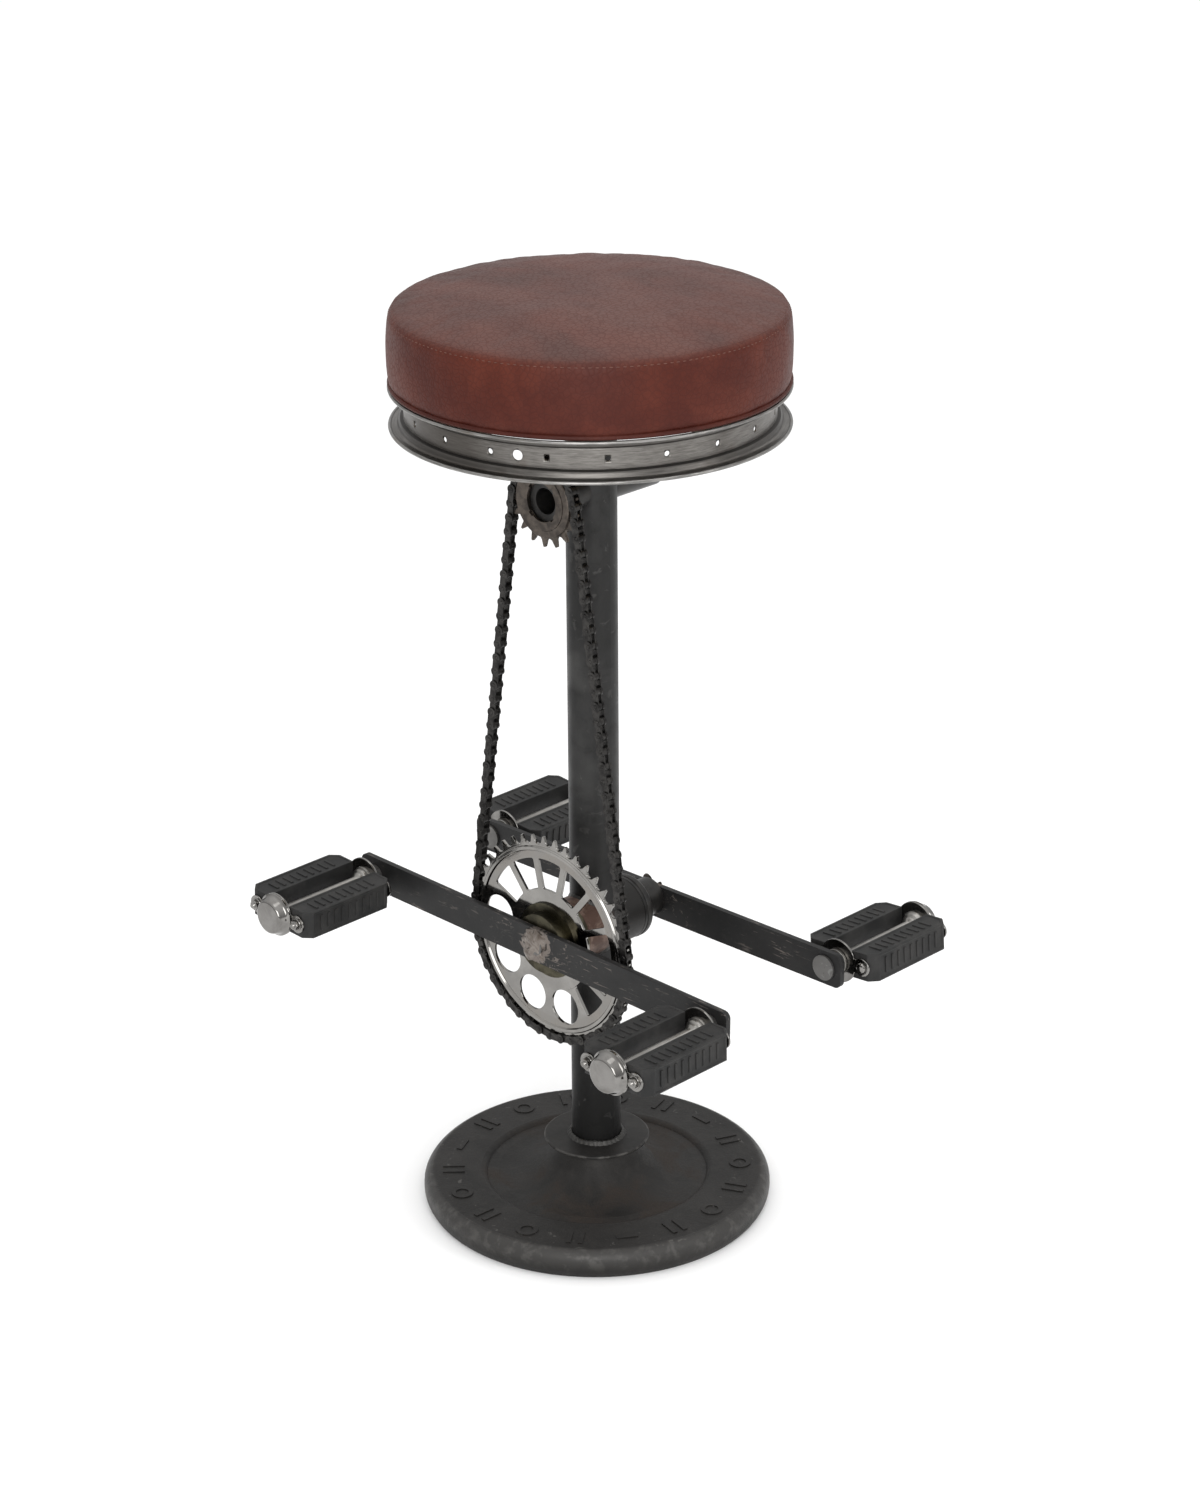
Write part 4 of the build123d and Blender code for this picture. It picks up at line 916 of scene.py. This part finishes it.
def block_shape():
    """Two moulded treads with cut corners, a framed panel on each face and short ribs in it."""
    shape = bmesh.new()
    for side in (-1, 1):
        known = set(shape.verts)
        lay = Matrix.Translation((side * TREAD_OUT, (BLOCK_IN + BLOCK_OUT) / 2, 0))
        size = Matrix.Diagonal((BLOCK_WIDE, BLOCK_OUT - BLOCK_IN, BLOCK_TALL, 1))
        bmesh.ops.create_cube(shape, size=1.0, matrix=lay @ size)
        block = [vert for vert in shape.verts if vert not in known]
        outer = [edge for edge in shape.edges if edge.verts[0] in block
                 and all(side * (vert.co.x - side * TREAD_OUT) > 1 for vert in edge.verts)
                 and abs(edge.verts[0].co.z - edge.verts[1].co.z) > 1]
        bmesh.ops.bevel(shape, geom=outer, offset=BLOCK_CORNER, segments=1, **BEVEL)
        panels = [face for face in shape.faces if len(set(face.verts) - known) == len(face.verts)
                  and (abs(face.normal.z) > 0.9 or side * face.normal.x > 0.9)]
        bmesh.ops.inset_individual(shape, faces=panels, thickness=PANEL_FRAME, depth=0.0)
        bmesh.ops.inset_individual(shape, faces=panels, thickness=PANEL_SLOPE, depth=-PANEL_DEPTH)
        edges = {edge for face in shape.faces if not set(face.verts) & known for edge in face.edges}
        sharp = [edge for edge in edges if edge.is_manifold and edge.calc_face_angle(0) > TREAD_SHARP]
        bmesh.ops.bevel(shape, geom=sharp, offset=BLOCK_ROUND, segments=2, clamp_overlap=True, **BEVEL)
        for index in range(RIBS):
            y = BLOCK_IN + RIB_START + index * RIB_PITCH
            for face in (-1, 1):
                add_rib(shape, (side * (TREAD_OUT - 0.4), y, face * (BLOCK_TALL - RIB_TALL) / 2),
                        (FACE_RIB, RIB_THICK, RIB_TALL))
            add_rib(shape, (side * (TREAD_OUT + (BLOCK_WIDE - RIB_TALL) / 2), y, 0),
                    (RIB_TALL, RIB_THICK, SIDE_RIB))
    return shape


def add_rib(shape, place, size):
    """A short rib with eased edges, level with the tread's face, its foot sunk in the panel."""
    known = set(shape.faces)
    bmesh.ops.create_cube(shape, size=1.0, matrix=Matrix.Translation(place) @ Matrix.Diagonal((*size, 1)))
    edges = {edge for face in shape.faces if face not in known for edge in face.edges}
    bmesh.ops.bevel(shape, geom=list(edges), offset=0.35, segments=1, **BEVEL)


def hex_nut(shape, lay, radius, height):
    """A six-sided nut that stands on lay's XY plane, with eased edges."""
    known = set(shape.verts)
    place = lay @ Matrix.Translation((0, 0, height / 2))
    bmesh.ops.create_cone(shape, segments=6, radius1=radius, radius2=radius, depth=height,
                          cap_ends=True, matrix=place)
    made = {vert for vert in shape.verts if vert not in known}
    edges = [edge for edge in shape.edges if edge.verts[0] in made]
    bmesh.ops.bevel(shape, geom=edges, offset=0.45, segments=2, **BEVEL)


def thread_profile(radius, low, high, pitch):
    """Outline of a bolt's end: ridges of this pitch, and a bevelled tip."""
    points = [(0, low), (radius, low)]
    y = low
    while y + pitch < high - 0.6:
        points += [(radius, y + pitch * 0.25), (radius - pitch * 0.4, y + pitch * 0.75),
                   (radius, y + pitch)]
        y += pitch
    return points + [(radius - 0.2, high - 0.5), (radius - 0.8, high), (0, high)]


def bolt_shape():
    """Bolts through the treads: a domed head inside, a washer, nut and thread outside."""
    a, b = PLATE_IN, PLATE_OUT
    washer_top = b + 0.8
    shape = bmesh.new()
    for side in (-1, 1):
        base = Matrix.Translation((side * TREAD_OUT, 0, 0)) @ AXLE_LAY
        spun(shape, [(0, a), (4.6, a), (4.5, a - 0.9), (3.8, a - 1.9), (2.2, a - 2.5), (0, a - 2.6)],
             28, lay=base)
        spun(shape, [(0, a), (BOLT_RADIUS, a), (BOLT_RADIUS, b), (0, b)], 20, lay=base)
        spun(shape, [(2.6, b), (5.4, b), (5.6, b + 0.3), (5.3, washer_top), (2.6, washer_top)], 32,
             lay=base)
        seat = base @ Matrix.Translation((0, 0, washer_top)) @ Matrix.Rotation(0.4 * side, 4, "Z")
        hex_nut(shape, seat, NUT_RADIUS, NUT_HEIGHT)
        spun(shape, thread_profile(BOLT_RADIUS, b + 3.6, b + 5.9, THREAD_PITCH), 24, lay=base)
    return shape


def build_pedals():
    """The outer pieces of all four pedals, each riding on its own pedal's body."""
    makers = {"cap": (cap_shape, "bright_chrome", "dust_cap"),
              "barrel": (barrel_shape, "satin_tube", "spindle_barrel"),
              "blocks": (block_shape, "black_rubber", "rubber_treads"),
              "bolts": (bolt_shape, "bright_chrome", "tread_bolts")}
    for name in TILTS:
        lay = pedal_lay(name)
        for part, (maker, slot, title) in makers.items():
            shape = maker()
            bmesh.ops.transform(shape, matrix=lay, verts=shape.verts)
            finished(f"{title}_{name}", shape, FINISHES[slot], f"pedal_{name}",
                     [f"pedal_{name}_{part}"])


# ---- kept nodes that only need their edges eased: how far, in millimetres ----
EASED = {"front_bar": 0.7, "back_bar": 0.7, "hub_disc": 0.5, "chainring": 0.25, "seat_arms": 0.6,
         "freewheel_ring": 0.25, "freewheel_body": 0.3, "bb_lock_ring": 0.4,
         **{f"pedal_{pedal}_plates": 0.5 for pedal in TILTS}}
EASED_ANGLE = math.radians(35)
WELD_GAP = 0.00001            # in metres


def ease_edges():
    """Weld each kept node's facets and round its edges, without touching its own mesh."""
    for name, width in EASED.items():
        node = NODES[name]
        weld = node.modifiers.new("weld", "WELD")
        weld.merge_threshold = WELD_GAP
        bevel = node.modifiers.new("ease", "BEVEL")
        bevel.width = width * MM
        bevel.segments = 2
        bevel.limit_method = "ANGLE"
        bevel.angle_limit = EASED_ANGLE
        facets = node.modifiers.new("facets", "EDGE_SPLIT")
        facets.split_angle = SHARP_ANGLE


# ---- studio ----
CAMERA_PLACE = Vector((1.9399, -1.9720, 1.5693))
CAMERA_AZIMUTH = math.radians(44.416)
CAMERA_PITCH = math.radians(22.578)
CAMERA_ROLL = math.radians(-0.45)
CAMERA_LENS = 86.36
CAMERA_REACH = 60.0
FLOOR_HALF = 20.0
AIR_LOW, AIR_HIGH = 0.5, 1.4            # strength of the air at the horizon and straight overhead
LIGHT_AIM = (0, 0, 0.45)
# Each softbox: where it stands, its width and height in metres, and its power in watts.
SOFTBOXES = {
    "key_softbox": ((2.1, -2.2, 1.7), 2.0, 2.0, 60),
    "side_softbox": ((2.9, 0.9, 1.6), 0.8, 1.4, 14),
    "top_softbox": ((0.2, 0.2, 3.2), 1.8, 1.8, 12),
}


def make_camera():
    """A camera at the front right of the stool, looking a little down on it."""
    data = bpy.data.cameras.new("view_camera")
    data.lens = CAMERA_LENS
    data.clip_end = CAMERA_REACH
    camera = bpy.data.objects.new("view_camera", data)
    azimuth, pitch, roll = CAMERA_AZIMUTH, CAMERA_PITCH, CAMERA_ROLL
    right = Vector((math.cos(azimuth), math.sin(azimuth), 0))
    level = Vector((-math.sin(azimuth), math.cos(azimuth), 0))
    ahead = level * math.cos(pitch) - Vector((0, 0, math.sin(pitch)))
    up = right.cross(ahead)
    turned_right = right * math.cos(roll) + up * math.sin(roll)
    turned_up = up * math.cos(roll) - right * math.sin(roll)
    axes = Matrix((turned_right, turned_up, -ahead)).transposed()
    camera.matrix_world = Matrix.Translation(CAMERA_PLACE) @ axes.to_4x4()
    bpy.context.collection.objects.link(camera)
    bpy.context.scene.camera = camera


def make_floor():
    """A wide flat floor under the stool, which isn't part of it."""
    shape = bmesh.new()
    bmesh.ops.create_grid(shape, x_segments=4, y_segments=4, size=FLOOR_HALF)
    mesh = bpy.data.meshes.new("studio_floor")
    shape.to_mesh(mesh)
    shape.free()
    floor = bpy.data.objects.new("studio_floor", mesh)
    bpy.context.collection.objects.link(floor)
    dress(floor, floor_paint())


def softbox(name, place, width, height, power):
    """A soft rectangular lamp that faces the stool."""
    data = bpy.data.lights.new(name, "AREA")
    data.shape = "RECTANGLE"
    data.size, data.size_y = width, height
    data.energy = power
    lamp = bpy.data.objects.new(name, data)
    lamp.location = place
    lamp.rotation_euler = (Vector(LIGHT_AIM) - Vector(place)).to_track_quat("-Z", "Y").to_euler()
    bpy.context.collection.objects.link(lamp)


def make_air():
    """Even white air, brighter overhead than round the horizon."""
    world = bpy.data.worlds.new("studio_air")
    world.use_nodes = True
    tree = world.node_tree
    way = tree.nodes.new("ShaderNodeTexCoord")
    parts = tree.nodes.new("ShaderNodeSeparateXYZ")
    rise = tree.nodes.new("ShaderNodeMapRange")
    rise.inputs["To Min"].default_value = AIR_LOW
    rise.inputs["To Max"].default_value = AIR_HIGH
    sky = tree.nodes["Background"]
    sky.inputs["Color"].default_value = (1.0, 1.0, 1.0, 1.0)
    tree.links.new(way.outputs["Generated"], parts.inputs[0])
    tree.links.new(parts.outputs["Z"], rise.inputs["Value"])
    tree.links.new(rise.outputs["Result"], sky.inputs["Strength"])
    bpy.context.scene.world = world


def make_lights():
    """The white air and the softboxes, with colours shown as they are."""
    make_air()
    for name, facts in SOFTBOXES.items():
        softbox(name, *facts)
    bpy.context.scene.view_settings.view_transform = "Standard"


def main():
    make_camera()
    dress_nodes()
    ease_edges()
    pad = build_pad()
    build_welt(pad)
    build_stitches(pad)
    build_hem()
    build_rim()
    build_welds()
    build_pedals()
    make_floor()
    make_lights()


main()
